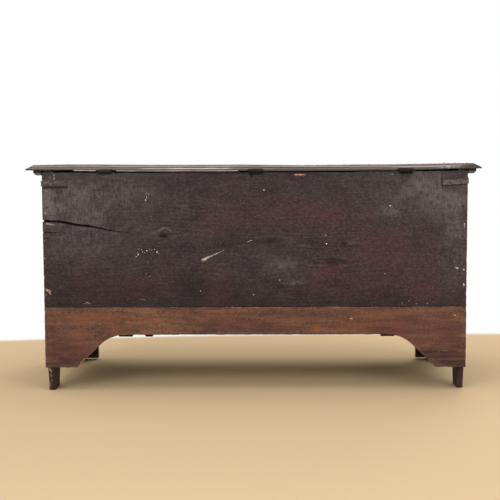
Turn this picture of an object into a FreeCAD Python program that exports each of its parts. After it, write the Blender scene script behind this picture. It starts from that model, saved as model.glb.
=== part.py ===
"""Mule chest: a boarded oak chest with a lift-up lid over two drawers.

Frame: X to the right as seen from the front, Y towards the back, Z up, in millimetres. The origin is on the
floor under the middle of the whole footprint. "Left" and "right" are as seen from the front.
"""

import FreeCAD, Part
import math
import os

from FreeCAD import Vector

# Carcass
CARCASS_WIDTH = 1260.0
CARCASS_DEPTH = 500.0
CARCASS_HEIGHT = 661.0  # floor to the underside of the lid
END_BOARD = 25.0
FRONT_BOARD = 22.0
BACK_BOARD = 20.0
BACK_TOP_GAP = 6.0  # the back board stops short of the lid to make room for the hinge leaves

# Lower board of the back, with its bracket-shaped ends
BACK_PLINTH_TOP = 251.0
BACK_PLINTH_EDGE = 168.0  # lower edge between the brackets
BACK_PLINTH_PROUD = 2.0
REAR_FOOT_CUT = 69.0  # brackets and end boards stop here at the back
END_REAR_FLAT = 125.0  # level edge of each end board over its rear foot, from the back
LEFT_BRACKET_FLAT = 90.0
RIGHT_BRACKET_FLAT = 95.5
REAR_BRACKET_SLOPE = 44.4  # degrees
REAR_BRACKET_CURVE = 105.0

# Drying shakes in the wide back board: where each starts on the board's right end, and its size
LONG_SHAKE_HEIGHT = 510.0
LONG_SHAKE_LENGTH = 255.0
LONG_SHAKE_FALL = 40.0
LONG_SHAKE_WIDTH = 7.0
SHORT_SHAKE_HEIGHT = 478.0
SHORT_SHAKE_LENGTH = 60.0
SHORT_SHAKE_FALL = -2.0
SHORT_SHAKE_WIDTH = 2.0
# Course of a shake from the board's end: share of its length, of its fall, and of its width
SHAKE_COURSE = ((0.0, 0.0, 1.0), (0.2, 0.08, 1.0), (0.38, 0.36, 0.8), (0.61, 0.62, 0.45))

# Front plinth, bracket feet and drawer framing
PLINTH_BOARD = 20.0
PLINTH_EDGE = 100.0  # lower edge of the plinth rail
BRACKET_LIFT = 5.0  # the front brackets hang clear of the floor
FOOT_WIDTH = 80.0
FOOT_STEP = 6.0
COVE_FOOT = 54.0
COVE_RADIUS = 36.0
COVE_LAND = 25.0  # flat between the cove and the spur
SPUR_LENGTH = 46.0
SPUR_HEIGHT = 80.0
SPUR_BEVEL = 7.0
RAIL_BOTTOM = 156.0
RAIL_THICKNESS = 26.0
RAIL_DEPTH = 60.0
RAIL_HOUSING = 8.0  # depth of the housing in each end board
MUNTIN_WIDTH = 45.0
MUNTIN_THICKNESS = 22.0
TENON_WIDTH = 25.0
TENON_THICKNESS = 8.0
TENON_LENGTH = 10.0
DRAWER_OPENING = 142.0  # height
PLINTH_MOULDING_HEIGHT = 18.0
PLINTH_MOULDING_PROUD = 12.0
WAIST_MOULDING_HEIGHT = 18.0
WAIST_MOULDING_PROUD = 10.0
WAIST_MOULDING_RISE = 9.0  # from the top of the drawer openings to the moulding
MOULDING_FILLET = 3.0
MOULDING_STEP = 1.5

# Drawer supports
RUNNER_THICKNESS = 16.0
RUNNER_WIDTH = 20.0
CENTRE_RUNNER_WIDTH = 80.0
GUIDE_HEIGHT = 24.0
GUIDE_CLEARANCE = 1.0
STOP_LENGTH = 40.0
STOP_DEPTH = 12.0
STOP_HEIGHT = 7.0
STOP_FROM_SIDE = 90.0
STOP_GAP = 0.3

# Floor of the upper chest
FLOOR_BEARER_HEIGHT = 18.0
FLOOR_BEARER_WIDTH = 20.0
FLOOR_BEARER_RISE = 3.0  # from the top of the drawer openings to the bearers
FLOOR_BOARD = 16.0
FLOOR_BOARD_COUNT = 3
FLOOR_SHRINKAGE = 1.0  # gap between neighbouring floor boards

# Corner blocks and rear feet
CORNER_BLOCK_WIDTH = 40.0
REAR_BLOCK_DEPTH = 72.0
FRONT_BLOCK_DEPTH = 40.0
FRONT_BLOCK_LIFT = 15.0
REAR_FOOT_WIDTH = 19.0
REAR_FOOT_TOP_DEPTH = 95.0
REAR_FOOT_FLOOR_DEPTH = 65.0
REAR_FOOT_LEAN = 2.5  # inwards, from the top to the floor
LEFT_FOOT_SIDE_INSET = 0.5
RIGHT_FOOT_SIDE_INSET = 7.0
LEFT_FOOT_REAR_INSET = 25.0
RIGHT_FOOT_REAR_INSET = 1.0
FOOT_TENON_THICKNESS = 10.0
FOOT_TENON_WIDTH = 40.0
FOOT_TENON_LENGTH = 45.0
GLUE_BLOCK_WIDTH = 34.0
GLUE_BLOCK_DEPTH = 26.0
GLUE_BLOCK_CLEARANCE = 2.0  # below the drawer bottoms
GLUE_BLOCK_DROP = 9.0  # below the lower edge of the back plinth board
GLUE_BLOCK_PLACE = 319.0
GLUE_BLOCK_BEVEL = 8.0

# Iron corner straps
STRAP_LENGTH = 74.0
STRAP_HEIGHT = 20.0
STRAP_TIP_HEIGHT = 17.0
STRAP_IRON = 3.0
STRAP_DROP = 29.0  # from the top of the carcass to the strap
STRAP_BEND = 5.0

# Lid
LID_BOARD = 16.0
LID_END_OVERHANG = 43.0
LID_FRONT_OVERHANG = 38.0
LID_REAR_BOARD_DEPTH = 276.0
MOULDED_WIDTH = 25.0
MOULDED_CROWN = 0.6  # how far the moulded slope swells
LID_EDGE = 3.5  # thickness left at the moulded edge
CLEAT_WIDTH = 23.0
CLEAT_HEIGHT = 15.0
CLEAT_FOOT = 13.0  # width at the bottom of its ovolo
CLEAT_FILLET = 5.0
CLEAT_CLEARANCE = 1.5
CLEAT_FRONT_OVERHANG = 14.0

# Strap hinges
HINGE_WIDTH = 40.0
LEFT_HINGE_FROM_END = 183.0
RIGHT_HINGE_FROM_END = 189.0
CENTRE_HINGE_SHIFT = -5.0
HINGE_IRON = 2.3
BARREL_RADIUS = 5.2
BARREL_GAP = 0.4  # between the barrel and the back face
PIN_RADIUS = 2.4
PIN_CLEARANCE = 0.1
PIN_OVERRUN = 1.0
KNUCKLE_GAP = 0.4
LID_KNUCKLE = 15.0
BACK_LEAF_DROP = 58.0
LID_STRAP_LENGTH = 215.0
LID_STRAP_TIP = 24.0

# Lid lock
LOCK_WIDTH = 100.0
LOCK_HEIGHT = 70.0
LOCK_DEPTH = 22.0
LOCK_WALL = 2.5
LOCK_TOP_GAP = 4.5
LOCK_SLOT_WIDTH = 8.0
BOLT_HEIGHT = 12.0
BOLT_LENGTH = 28.0
BOLT_GAP = 0.3
BOLT_NOSE = 6.0
BOLT_NOSE_LENGTH = 14.0
BOLT_BACKSET = 4.0  # from the middle of the lock to the bolt's nose when it is drawn back
STAPLE_PLATE = 2.0
STAPLE_PLATE_LENGTH = 50.0
EYE_WIDTH = 14.0
EYE_THICKNESS = 5.0
EYE_DROP = 33.0
EYE_HOLE = 8.0
EYE_RIM = 6.0
KEYHOLE_DROP = 50.0  # from the top of the carcass
KEYHOLE_RADIUS = 4.0
KEYHOLE_SLOT = 4.6
KEYHOLE_LENGTH = 16.0
ESCUTCHEON_WIDTH = 38.0
ESCUTCHEON_HEIGHT = 54.0
ESCUTCHEON_PLATE = 1.6

# Drawers
DRAWER_SIDE_CLEARANCE = 1.5
DRAWER_TOP_CLEARANCE = 3.0
DRAWER_RUN_GAP = 0.3
DRAWER_REAR_GAP = 12.0
DRAWER_FRONT = 20.0  # thickness of the part that enters the opening
LIP_THICKNESS = 8.0
LIP_OVERLAP = 7.0
LIP_GAP = 0.3
LIP_ROUND = 5.5
LIP_STEP = 1.2
DRAWER_SIDE = 11.0
DRAWER_SIDE_DROP = 2.0  # the sides are a little lower than the front
DRAWER_BACK_DROP = 10.0
DRAWER_BOTTOM = 8.0
DRAWER_BOTTOM_RISE = 10.5
DRAWER_GROOVE = 5.0
FRONT_TAIL_COUNT = 3
BACK_TAIL_COUNT = 2
TAIL_LAP = 6.0  # wood left in front of the lapped tails
PIN_NARROW = 9.0
TAIL_SLOPE = 10.0  # degrees

# Drawer handles
HANDLE_FROM_SIDE = 135.0
HANDLE_ABOVE_MIDDLE = 16.0
POST_SPACING = 80.0
POST_RADIUS = 2.9
POST_STANDOFF = 13.0  # drawer face to the bail's axis
POST_TAIL = 7.0
POST_CLEARANCE = 0.1  # round the post in the drawer front, the rose and the nut
POMMEL_RADIUS = 5.5
POMMEL_WIDTH = 8.0
ROSE_RADIUS = 12.0
ROSE_RIM = 0.8
ROSE_CROWN = 2.4
ROSE_CROWN_RADIUS = 6.5
NUT_SIZE = 10.0
NUT_THICKNESS = 4.0
BAIL_RADIUS = 2.6
BAIL_PIN_RADIUS = 1.9
BAIL_PIN_CLEARANCE = 0.1
BAIL_SIDE_GAP = 0.5
SHOULDER_RADIUS = 5.0
NECK_RADIUS = 16.0
NECK_LEAN_IN = 25.0  # degrees from straight down, towards the middle of the handle
NECK_LEAN_OUT = 18.0
BELLY_RADIUS = 17.0
BELLY_END = 62.0  # degrees from straight down

# Places worked out from the sizes above
HALF_WIDTH = CARCASS_WIDTH / 2
INNER_HALF = HALF_WIDTH - END_BOARD
BARREL_OFFSET = BARREL_GAP + BARREL_RADIUS  # from the back face to the hinge axis
HINGE_PROUD = BARREL_OFFSET + BARREL_RADIUS
FRONT_Y = LID_FRONT_OVERHANG - (LID_FRONT_OVERHANG + CARCASS_DEPTH + HINGE_PROUD) / 2
BACK_Y = FRONT_Y + CARCASS_DEPTH
INNER_FRONT_Y = FRONT_Y + FRONT_BOARD
INNER_BACK_Y = BACK_Y - BACK_BOARD
BACK_TOP = CARCASS_HEIGHT - BACK_TOP_GAP
RUNNER_TOP = RAIL_BOTTOM + RAIL_THICKNESS
OPENING_TOP = RUNNER_TOP + DRAWER_OPENING
FLOOR_BEARER_BOTTOM = OPENING_TOP + FLOOR_BEARER_RISE
FLOOR_BOTTOM = FLOOR_BEARER_BOTTOM + FLOOR_BEARER_HEIGHT
HALF_MUNTIN = MUNTIN_WIDTH / 2
COVE_END = FOOT_WIDTH + FOOT_STEP + COVE_RADIUS  # from the corner of a bracket foot
HINGE_AXIS_Y = BACK_Y + BARREL_OFFSET
HINGE_AXIS_Z = CARCASS_HEIGHT - BARREL_RADIUS
LOCK_TOP = CARCASS_HEIGHT - LOCK_TOP_GAP
LOCK_MIDDLE_Y = INNER_FRONT_Y + LOCK_DEPTH / 2


def box(x, y, z):
    """A board or block between two values of each coordinate, given in either order."""
    low = Vector(min(x), min(y), min(z))
    return Part.makeBox(abs(x[1] - x[0]), abs(y[1] - y[0]), abs(z[1] - z[0]), low)


def profile(points, place):
    """A flat face. Each entry ends a straight run, or is a pair: a point on an arc and the arc's end."""
    edges = []
    last = points[-1]
    here = last[1] if isinstance(last[0], tuple) else last
    for entry in points:
        if isinstance(entry[0], tuple):
            through, end = entry
            edges.append(Part.Arc(place(*here), place(*through), place(*end)).toShape())
        else:
            end = entry
            edges.append(Part.makeLine(place(*here), place(*end)))
        here = end
    return Part.Face(Part.Wire(edges))


def along_x(points, x):
    """A (y, z) profile carried from the first x to the second."""
    face = profile(points, lambda y, z: Vector(x[0], y, z))
    return face.extrude(Vector(x[1] - x[0], 0, 0))


def along_y(points, y):
    """An (x, z) profile carried from the first y to the second."""
    face = profile(points, lambda x, z: Vector(x, y[0], z))
    return face.extrude(Vector(0, y[1] - y[0], 0))


def along_z(points, z):
    """An (x, y) profile carried from the first z to the second."""
    face = profile(points, lambda x, y: Vector(x, y, z[0]))
    return face.extrude(Vector(0, 0, z[1] - z[0]))


def round_bar(centre, radius, axis, length):
    """A cylinder that starts at centre and runs along axis."""
    return Part.makeCylinder(radius, length, centre, axis)


def mirrored(shape):
    """The same piece on the other side of the chest."""
    return shape.mirror(Vector(0, 0, 0), Vector(1, 0, 0))


def on_circle(centre, radius, degrees):
    """A point of a circle, as a pair."""
    angle = math.radians(degrees)
    return (centre[0] + radius * math.cos(angle), centre[1] + radius * math.sin(angle))


def save(name, *solids):
    """Writes one node, made of one solid or of several separate ones."""
    shape = solids[0] if len(solids) == 1 else Part.makeCompound(list(solids))
    shape.exportStep(f"parts/{name}.step")


def bracket_edge(bottom):
    """Inner edge of a bracket foot from its bottom up to its cove: distance from the corner, height."""
    cove_start = FOOT_WIDTH + FOOT_STEP
    centre = (cove_start + COVE_RADIUS, COVE_FOOT)
    return [
        (FOOT_WIDTH, bottom),
        (FOOT_WIDTH, COVE_FOOT),
        (cove_start, COVE_FOOT),
        (on_circle(centre, COVE_RADIUS, 135), on_circle(centre, COVE_RADIUS, 90)),
    ]


def mapped(points, change):
    """The same outline in other coordinates, arcs included."""
    return [tuple(change(*p) for p in e) if isinstance(e[0], tuple) else change(*e) for e in points]


def reversed_outline(points):
    """The same open outline drawn from its other end."""
    ends = [e[1] if isinstance(e[0], tuple) else e for e in points]
    turned = [ends[-1]]
    for index in range(len(points) - 1, 0, -1):
        entry = points[index]
        turned.append((entry[0], ends[index - 1]) if isinstance(entry[0], tuple) else ends[index - 1])
    return turned


def end_board():
    """Right end board: one upright plank, rebated for the front boards and arched below."""
    front_foot = mapped(bracket_edge(0.0), lambda d, z: (FRONT_Y + d, z))
    rear_cove = PLINTH_EDGE - REAR_FOOT_CUT
    rear_centre = (BACK_Y - END_REAR_FLAT - rear_cove, REAR_FOOT_CUT)
    plank = along_x(
        [
            (FRONT_Y + PLINTH_BOARD, 0.0),
            *front_foot,
            (FRONT_Y + COVE_END, PLINTH_EDGE),
            (rear_centre[0], PLINTH_EDGE),
            (on_circle(rear_centre, rear_cove, 45), on_circle(rear_centre, rear_cove, 0)),
            (INNER_BACK_Y, REAR_FOOT_CUT),
            (INNER_BACK_Y, CARCASS_HEIGHT),
            (INNER_FRONT_Y, CARCASS_HEIGHT),
            (INNER_FRONT_Y, OPENING_TOP),
            (FRONT_Y, OPENING_TOP),
            (FRONT_Y, RAIL_BOTTOM),
            (FRONT_Y + PLINTH_BOARD, RAIL_BOTTOM),
        ],
        (INNER_HALF, HALF_WIDTH),
    )
    return plank.cut(bottom_rail_blank())


def bottom_rail_blank():
    """The rail under the drawers, with its ends in the housings of the end boards."""
    reach = INNER_HALF + RAIL_HOUSING
    return box((-reach, reach), (FRONT_Y, FRONT_Y + RAIL_DEPTH), (RAIL_BOTTOM, RUNNER_TOP))


def muntin():
    """Upright between the drawers, with a stub tenon at each end."""
    y = (FRONT_Y, FRONT_Y + MUNTIN_THICKNESS)
    post = box((-HALF_MUNTIN, HALF_MUNTIN), y, (RUNNER_TOP, OPENING_TOP))
    middle = FRONT_Y + MUNTIN_THICKNESS / 2
    tenons = box(
        (-TENON_WIDTH / 2, TENON_WIDTH / 2),
        (middle - TENON_THICKNESS / 2, middle + TENON_THICKNESS / 2),
        (RUNNER_TOP - TENON_LENGTH, OPENING_TOP + TENON_LENGTH),
    )
    return post.fuse(tenons).removeSplitter()


def keyhole(y):
    """Cutter for the keyhole: a round top over a straight slot."""
    middle = CARCASS_HEIGHT - KEYHOLE_DROP
    depth = y[1] - y[0]
    top = round_bar(Vector(0, y[0], middle), KEYHOLE_RADIUS, Vector(0, 1, 0), depth)
    half = KEYHOLE_SLOT / 2
    return top.fuse(box((-half, half), y, (middle - KEYHOLE_LENGTH, middle)))


def front_board():
    """The wide board over the drawers."""
    board = box((-HALF_WIDTH, HALF_WIDTH), (FRONT_Y, INNER_FRONT_Y), (OPENING_TOP, CARCASS_HEIGHT))
    return board.cut(muntin()).cut(keyhole((FRONT_Y, INNER_FRONT_Y)))


def shake(height, length, fall, width):
    """Cutter for a split that runs in from the board's right end and closes to nothing."""
    upper = []
    lower = []
    for along, sunk, open_part in SHAKE_COURSE:
        x = HALF_WIDTH - along * length
        z = height - sunk * fall
        half = open_part * width / 2
        upper.append((x, z + half))
        lower.append((x, z - half))
    tip = (HALF_WIDTH - length, height - fall)
    return along_y([*upper, tip, *reversed(lower)], (INNER_BACK_Y, BACK_Y))


def back_board():
    """The single wide board of the back, split at its right end."""
    board = box((-HALF_WIDTH, HALF_WIDTH), (INNER_BACK_Y, BACK_Y), (BACK_PLINTH_TOP, BACK_TOP))
    long_shake = shake(LONG_SHAKE_HEIGHT, LONG_SHAKE_LENGTH, LONG_SHAKE_FALL, LONG_SHAKE_WIDTH)
    short_shake = shake(SHORT_SHAKE_HEIGHT, SHORT_SHAKE_LENGTH, SHORT_SHAKE_FALL, SHORT_SHAKE_WIDTH)
    return board.cut(long_shake).cut(short_shake)


def back_plinth_board():
    """The lower board of the back: a straight rail that curves down into a bracket at each end."""
    slope = math.radians(REAR_BRACKET_SLOPE)
    curve_drop = REAR_BRACKET_CURVE * (1 - math.cos(slope))
    curve_run = REAR_BRACKET_CURVE * math.sin(slope)
    line_rise = BACK_PLINTH_EDGE - curve_drop - REAR_FOOT_CUT

    def bracket(flat):
        line_end = flat + line_rise / math.tan(slope)
        centre = (line_end + curve_run, BACK_PLINTH_EDGE - REAR_BRACKET_CURVE)
        half_way = on_circle(centre, REAR_BRACKET_CURVE, 90 + REAR_BRACKET_SLOPE / 2)
        return [
            (0.0, REAR_FOOT_CUT),
            (flat, REAR_FOOT_CUT),
            (line_end, REAR_FOOT_CUT + line_rise),
            (half_way, (centre[0], BACK_PLINTH_EDGE)),
        ]

    right = mapped(bracket(RIGHT_BRACKET_FLAT), lambda d, z: (HALF_WIDTH - d, z))
    left = reversed_outline(mapped(bracket(LEFT_BRACKET_FLAT), lambda d, z: (d - HALF_WIDTH, z)))
    top = [(-HALF_WIDTH, BACK_PLINTH_TOP), (HALF_WIDTH, BACK_PLINTH_TOP)]
    return along_y([*right, *left, *top], (INNER_BACK_Y, BACK_Y + BACK_PLINTH_PROUD))


def front_bracket():
    """Right bracket foot of the front, with its cove and the spur that ends it."""
    land_end = COVE_END + COVE_LAND
    spur_start = land_end + SPUR_BEVEL
    spur_end = spur_start + SPUR_LENGTH
    edge = [
        (0.0, BRACKET_LIFT),
        *bracket_edge(BRACKET_LIFT),
        (land_end, COVE_FOOT + COVE_RADIUS),
        (spur_start, SPUR_HEIGHT),
        (spur_end, SPUR_HEIGHT),
        (spur_end + SPUR_BEVEL, PLINTH_EDGE),
        (0.0, PLINTH_EDGE),
    ]
    return along_y(mapped(edge, lambda d, z: (HALF_WIDTH - d, z)), (FRONT_Y, FRONT_Y + PLINTH_BOARD))


def front_moulding(bottom, height, proud):
    """A strip along the front: an ovolo between two square fillets."""
    top = bottom + height
    nose = (FRONT_Y - proud + MOULDING_STEP, top - MOULDING_FILLET)
    foot = (FRONT_Y - MOULDING_STEP, bottom + MOULDING_FILLET)
    bulge = tuple(u + (v - u) * math.sqrt(0.5) for u, v in zip((foot[0], nose[1]), (nose[0], foot[1])))
    points = [
        (FRONT_Y, top),
        (FRONT_Y - proud, top),
        (FRONT_Y - proud, nose[1]),
        nose,
        (bulge, foot),
        (FRONT_Y - MOULDING_STEP, bottom),
        (FRONT_Y, bottom),
    ]
    return along_x(points, (-HALF_WIDTH, HALF_WIDTH))


def drawer_runners():
    """Bearers that the drawers slide on: one along each end board and a wide one in the middle."""
    y = (FRONT_Y + RAIL_DEPTH, INNER_BACK_Y)
    z = (RUNNER_TOP - RUNNER_THICKNESS, RUNNER_TOP)
    right = box((INNER_HALF - RUNNER_WIDTH, INNER_HALF), y, z)
    middle = box((-CENTRE_RUNNER_WIDTH / 2, CENTRE_RUNNER_WIDTH / 2), y, z)
    return [mirrored(right), middle, right]


def drawer_guide():
    """Strip on the middle runner that keeps the two drawers apart."""
    half = HALF_MUNTIN - GUIDE_CLEARANCE
    y = (FRONT_Y + MUNTIN_THICKNESS, INNER_BACK_Y)
    return box((-half, half), y, (RUNNER_TOP, RUNNER_TOP + GUIDE_HEIGHT))


def drawer_stops():
    """Small blocks on the rail that the backs of the drawer fronts come up against."""
    y = FRONT_Y + DRAWER_FRONT + STOP_GAP
    starts = (HALF_MUNTIN + STOP_FROM_SIDE, INNER_HALF - STOP_FROM_SIDE - STOP_LENGTH)
    z = (RUNNER_TOP, RUNNER_TOP + STOP_HEIGHT)
    right = [box((x, x + STOP_LENGTH), (y, y + STOP_DEPTH), z) for x in starts]
    return right + [mirrored(stop) for stop in right]


def floor_bearers():
    """Battens under the floor of the upper chest: one at each end and one across the middle."""
    y = (INNER_FRONT_Y, INNER_BACK_Y)
    z = (FLOOR_BEARER_BOTTOM, FLOOR_BOTTOM)
    right = box((INNER_HALF - FLOOR_BEARER_WIDTH, INNER_HALF), y, z)
    middle = box((-FLOOR_BEARER_WIDTH, FLOOR_BEARER_WIDTH), y, z)
    return [mirrored(right), middle, right]


def chest_floor_boards():
    """Floor of the upper chest: boards laid lengthways on the bearers."""
    room = INNER_BACK_Y - INNER_FRONT_Y
    width = (room - FLOOR_SHRINKAGE * (FLOOR_BOARD_COUNT - 1)) / FLOOR_BOARD_COUNT
    boards = []
    for index in range(FLOOR_BOARD_COUNT):
        y = INNER_FRONT_Y + index * (width + FLOOR_SHRINKAGE)
        z = (FLOOR_BOTTOM, FLOOR_BOTTOM + FLOOR_BOARD)
        boards.append(box((-INNER_HALF, INNER_HALF), (y, y + width), z))
    return boards


def rear_corner_block():
    """Right block glued into the back corner."""
    return box(
        (INNER_HALF - CORNER_BLOCK_WIDTH, INNER_HALF),
        (INNER_BACK_Y - REAR_BLOCK_DEPTH, INNER_BACK_Y),
        (REAR_FOOT_CUT, RUNNER_TOP - RUNNER_THICKNESS),
    )


def front_corner_block():
    """Right block glued behind the front bracket."""
    y = FRONT_Y + PLINTH_BOARD
    x = (INNER_HALF - CORNER_BLOCK_WIDTH, INNER_HALF)
    return box(x, (y, y + FRONT_BLOCK_DEPTH), (FRONT_BLOCK_LIFT, RAIL_BOTTOM))


def rear_foot(side_inset, rear_inset):
    """Right rear foot: a flat block that tapers to the floor, tenoned up into the end board."""
    outer = HALF_WIDTH - side_inset
    rear = BACK_Y - rear_inset

    def level(lean, depth, z):
        x = (outer - lean - REAR_FOOT_WIDTH, outer - lean)
        y = (rear - depth, rear)
        corners = [(x[0], y[0]), (x[1], y[0]), (x[1], y[1]), (x[0], y[1])]
        return profile(corners, lambda u, v: Vector(u, v, z)).OuterWire

    floor = level(REAR_FOOT_LEAN, REAR_FOOT_FLOOR_DEPTH, 0.0)
    top = level(0.0, REAR_FOOT_TOP_DEPTH, REAR_FOOT_CUT)
    tenon_x = HALF_WIDTH - END_BOARD / 2
    tenon_y = rear - REAR_FOOT_TOP_DEPTH / 2
    tenon = box(
        (tenon_x - FOOT_TENON_THICKNESS / 2, tenon_x + FOOT_TENON_THICKNESS / 2),
        (tenon_y - FOOT_TENON_WIDTH / 2, tenon_y + FOOT_TENON_WIDTH / 2),
        (REAR_FOOT_CUT, REAR_FOOT_CUT + FOOT_TENON_LENGTH),
    )
    return Part.makeLoft([floor, top], True, True).fuse(tenon)


def glue_block():
    """Block rubbed into the angle behind the back plinth board; its bevelled foot shows below the edge."""
    half = GLUE_BLOCK_WIDTH / 2
    bottom = BACK_PLINTH_EDGE - GLUE_BLOCK_DROP
    top = RUNNER_TOP - GLUE_BLOCK_CLEARANCE
    outline = [
        (GLUE_BLOCK_PLACE - half, top),
        (GLUE_BLOCK_PLACE - half, bottom + GLUE_BLOCK_BEVEL),
        (GLUE_BLOCK_PLACE - half + GLUE_BLOCK_BEVEL, bottom),
        (GLUE_BLOCK_PLACE + half - GLUE_BLOCK_BEVEL, bottom),
        (GLUE_BLOCK_PLACE + half, bottom + GLUE_BLOCK_BEVEL),
        (GLUE_BLOCK_PLACE + half, top),
    ]
    return along_y(outline, (INNER_BACK_Y - GLUE_BLOCK_DEPTH, INNER_BACK_Y))


def corner_strap():
    """Right iron strap: bent round the back corner and tapered to the tip of each arm."""
    tip_x = HALF_WIDTH - STRAP_LENGTH
    tip_y = BACK_Y - STRAP_LENGTH
    outer_x = HALF_WIDTH + STRAP_IRON
    outer_y = BACK_Y + STRAP_IRON
    bend = (outer_x - STRAP_BEND, outer_y - STRAP_BEND)
    plan = [
        (tip_x, BACK_Y),
        (tip_x, outer_y),
        (bend[0], outer_y),
        (on_circle(bend, STRAP_BEND, 45), (outer_x, bend[1])),
        (outer_x, tip_y),
        (HALF_WIDTH, tip_y),
        (HALF_WIDTH, BACK_Y),
    ]
    top = CARCASS_HEIGHT - STRAP_DROP
    bottom = top - STRAP_HEIGHT
    strap = along_z(plan, (bottom, top))
    taper = (STRAP_HEIGHT - STRAP_TIP_HEIGHT) / 2
    for edge, inner in ((bottom, bottom + taper), (top, top - taper)):
        back_wedge = [(tip_x, edge), (tip_x, inner), (HALF_WIDTH, edge)]
        side_wedge = [(tip_y, edge), (tip_y, inner), (BACK_Y, edge)]
        strap = strap.cut(along_y(back_wedge, (BACK_Y, outer_y)))
        strap = strap.cut(along_x(side_wedge, (HALF_WIDTH, outer_x)))
    return strap


def edge_cutter():
    """What the moulding plane takes off a lid edge: distance in from the edge, depth below the top."""
    end_depth = LID_BOARD - LID_EDGE
    share = MOULDED_CROWN / math.hypot(MOULDED_WIDTH, end_depth)
    swell = (MOULDED_WIDTH / 2 - share * end_depth, end_depth / 2 - share * MOULDED_WIDTH)
    return [
        (MOULDED_WIDTH, 0.0),
        (swell, (0.0, end_depth)),
        (-1.0, end_depth),
        (-1.0, 0.0),
    ]


def lid_boards():
    """The lid's front and rear boards, with a swelled slope worked round the front and both ends."""
    half = HALF_WIDTH + LID_END_OVERHANG
    front = FRONT_Y - LID_FRONT_OVERHANG
    top = CARCASS_HEIGHT + LID_BOARD
    joint = BACK_Y - LID_REAR_BOARD_DEPTH
    z = (CARCASS_HEIGHT, top)
    cutter = edge_cutter()
    right = along_y(mapped(cutter, lambda d, depth: (half - d, top - depth)), (front - 1, BACK_Y + 1))
    nose = along_x(mapped(cutter, lambda d, depth: (front + d, top - depth)), (-half - 1, half + 1))
    boards = []
    for y in ((front, joint), (joint, BACK_Y)):
        board = box((-half, half), y, z)
        boards.append(board.cut(right).cut(mirrored(right)).cut(nose))
    return boards


def lid_cleat():
    """Right cleat under the lid, outside the end board: a fillet over an ovolo."""
    inner = HALF_WIDTH + CLEAT_CLEARANCE
    outer = inner + CLEAT_WIDTH
    bottom = CARCASS_HEIGHT - CLEAT_HEIGHT
    rim = CARCASS_HEIGHT - CLEAT_FILLET
    foot = inner + CLEAT_FOOT
    bulge = ((outer + foot) / 2 + CLEAT_FILLET / 4, (rim + bottom) / 2 - CLEAT_FILLET / 4)
    points = [
        (inner, CARCASS_HEIGHT),
        (inner, bottom),
        (foot, bottom),
        (bulge, (outer, rim)),
        (outer, CARCASS_HEIGHT),
    ]
    return along_y(points, (FRONT_Y - CLEAT_FRONT_OVERHANG, BACK_Y))


def knuckle(x):
    """One ring of a hinge barrel."""
    start = Vector(x[0], HINGE_AXIS_Y, HINGE_AXIS_Z)
    ring = round_bar(start, BARREL_RADIUS, Vector(1, 0, 0), x[1] - x[0])
    return ring.cut(round_bar(start, PIN_RADIUS + PIN_CLEARANCE, Vector(1, 0, 0), x[1] - x[0]))


def hinge_bore(x):
    """Cutter that keeps the bore clear where a leaf joins its knuckle."""
    start = Vector(x[0], HINGE_AXIS_Y, HINGE_AXIS_Z)
    return round_bar(start, PIN_RADIUS + PIN_CLEARANCE, Vector(1, 0, 0), x[1] - x[0])


def hinge_back_leaf(middle):
    """Fixed leaf: over the back board's top edge and down its inner face, with the two outer knuckles."""
    half = HINGE_WIDTH / 2
    inner = LID_KNUCKLE / 2 + KNUCKLE_GAP
    z = (BACK_TOP, BACK_TOP + HINGE_IRON)
    face = INNER_BACK_Y - HINGE_IRON
    leaf = box((middle - half, middle + half), (face, BACK_Y), z)
    drop = box((middle - half, middle + half), (face, INNER_BACK_Y), (BACK_TOP - BACK_LEAF_DROP, z[1]))
    leaf = leaf.fuse(drop)
    for x in ((middle - half, middle - inner), (middle + inner, middle + half)):
        tongue = box(x, (BACK_Y, HINGE_AXIS_Y), z).cut(hinge_bore(x))
        leaf = leaf.fuse(tongue).fuse(knuckle(x))
    return leaf.removeSplitter()


def hinge_lid_strap(middle):
    """Moving leaf: a strap under the lid with the middle knuckle, tapered to a round tip."""
    z = (CARCASS_HEIGHT - HINGE_IRON, CARCASS_HEIGHT)
    neck = LID_KNUCKLE / 2
    root = HINGE_WIDTH / 2
    tip = LID_STRAP_TIP / 2
    end = BACK_Y - LID_STRAP_LENGTH
    shoulder = BACK_Y - PIN_OVERRUN
    plan = [
        (-neck, HINGE_AXIS_Y),
        (-neck, shoulder),
        (-root, shoulder),
        (-tip, end + tip),
        ((0.0, end), (tip, end + tip)),
        (root, shoulder),
        (neck, shoulder),
        (neck, HINGE_AXIS_Y),
    ]
    x = (middle - neck, middle + neck)
    strap = along_z(mapped(plan, lambda u, y: (middle + u, y)), z).cut(hinge_bore(x))
    return strap.fuse(knuckle(x)).removeSplitter()


def hinge_pin(middle):
    """Pin through the three knuckles of one hinge."""
    half = HINGE_WIDTH / 2 + PIN_OVERRUN
    start = Vector(middle - half, HINGE_AXIS_Y, HINGE_AXIS_Z)
    return round_bar(start, PIN_RADIUS, Vector(1, 0, 0), 2 * half)


def lock_case():
    """Iron box lock on the inner face of the front board, open above for the staple's eye."""
    half = LOCK_WIDTH / 2
    y = (INNER_FRONT_Y, INNER_FRONT_Y + LOCK_DEPTH)
    z = (LOCK_TOP - LOCK_HEIGHT, LOCK_TOP)
    case = box((-half, half), y, z)
    room = (y[0] + LOCK_WALL, y[1] - LOCK_WALL)
    hollow = box((-half + LOCK_WALL, half - LOCK_WALL), room, (z[0] + LOCK_WALL, z[1] - LOCK_WALL))
    slot = box((-LOCK_SLOT_WIDTH / 2, LOCK_SLOT_WIDTH / 2), room, (z[1] - LOCK_WALL, z[1]))
    return case.cut(hollow).cut(slot).cut(keyhole((y[0], y[0] + LOCK_WALL)))


def bolt_middle():
    """Height of the bolt, level with the hole in the staple's eye."""
    return CARCASS_HEIGHT - EYE_DROP + EYE_RIM + EYE_HOLE / 2


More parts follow.
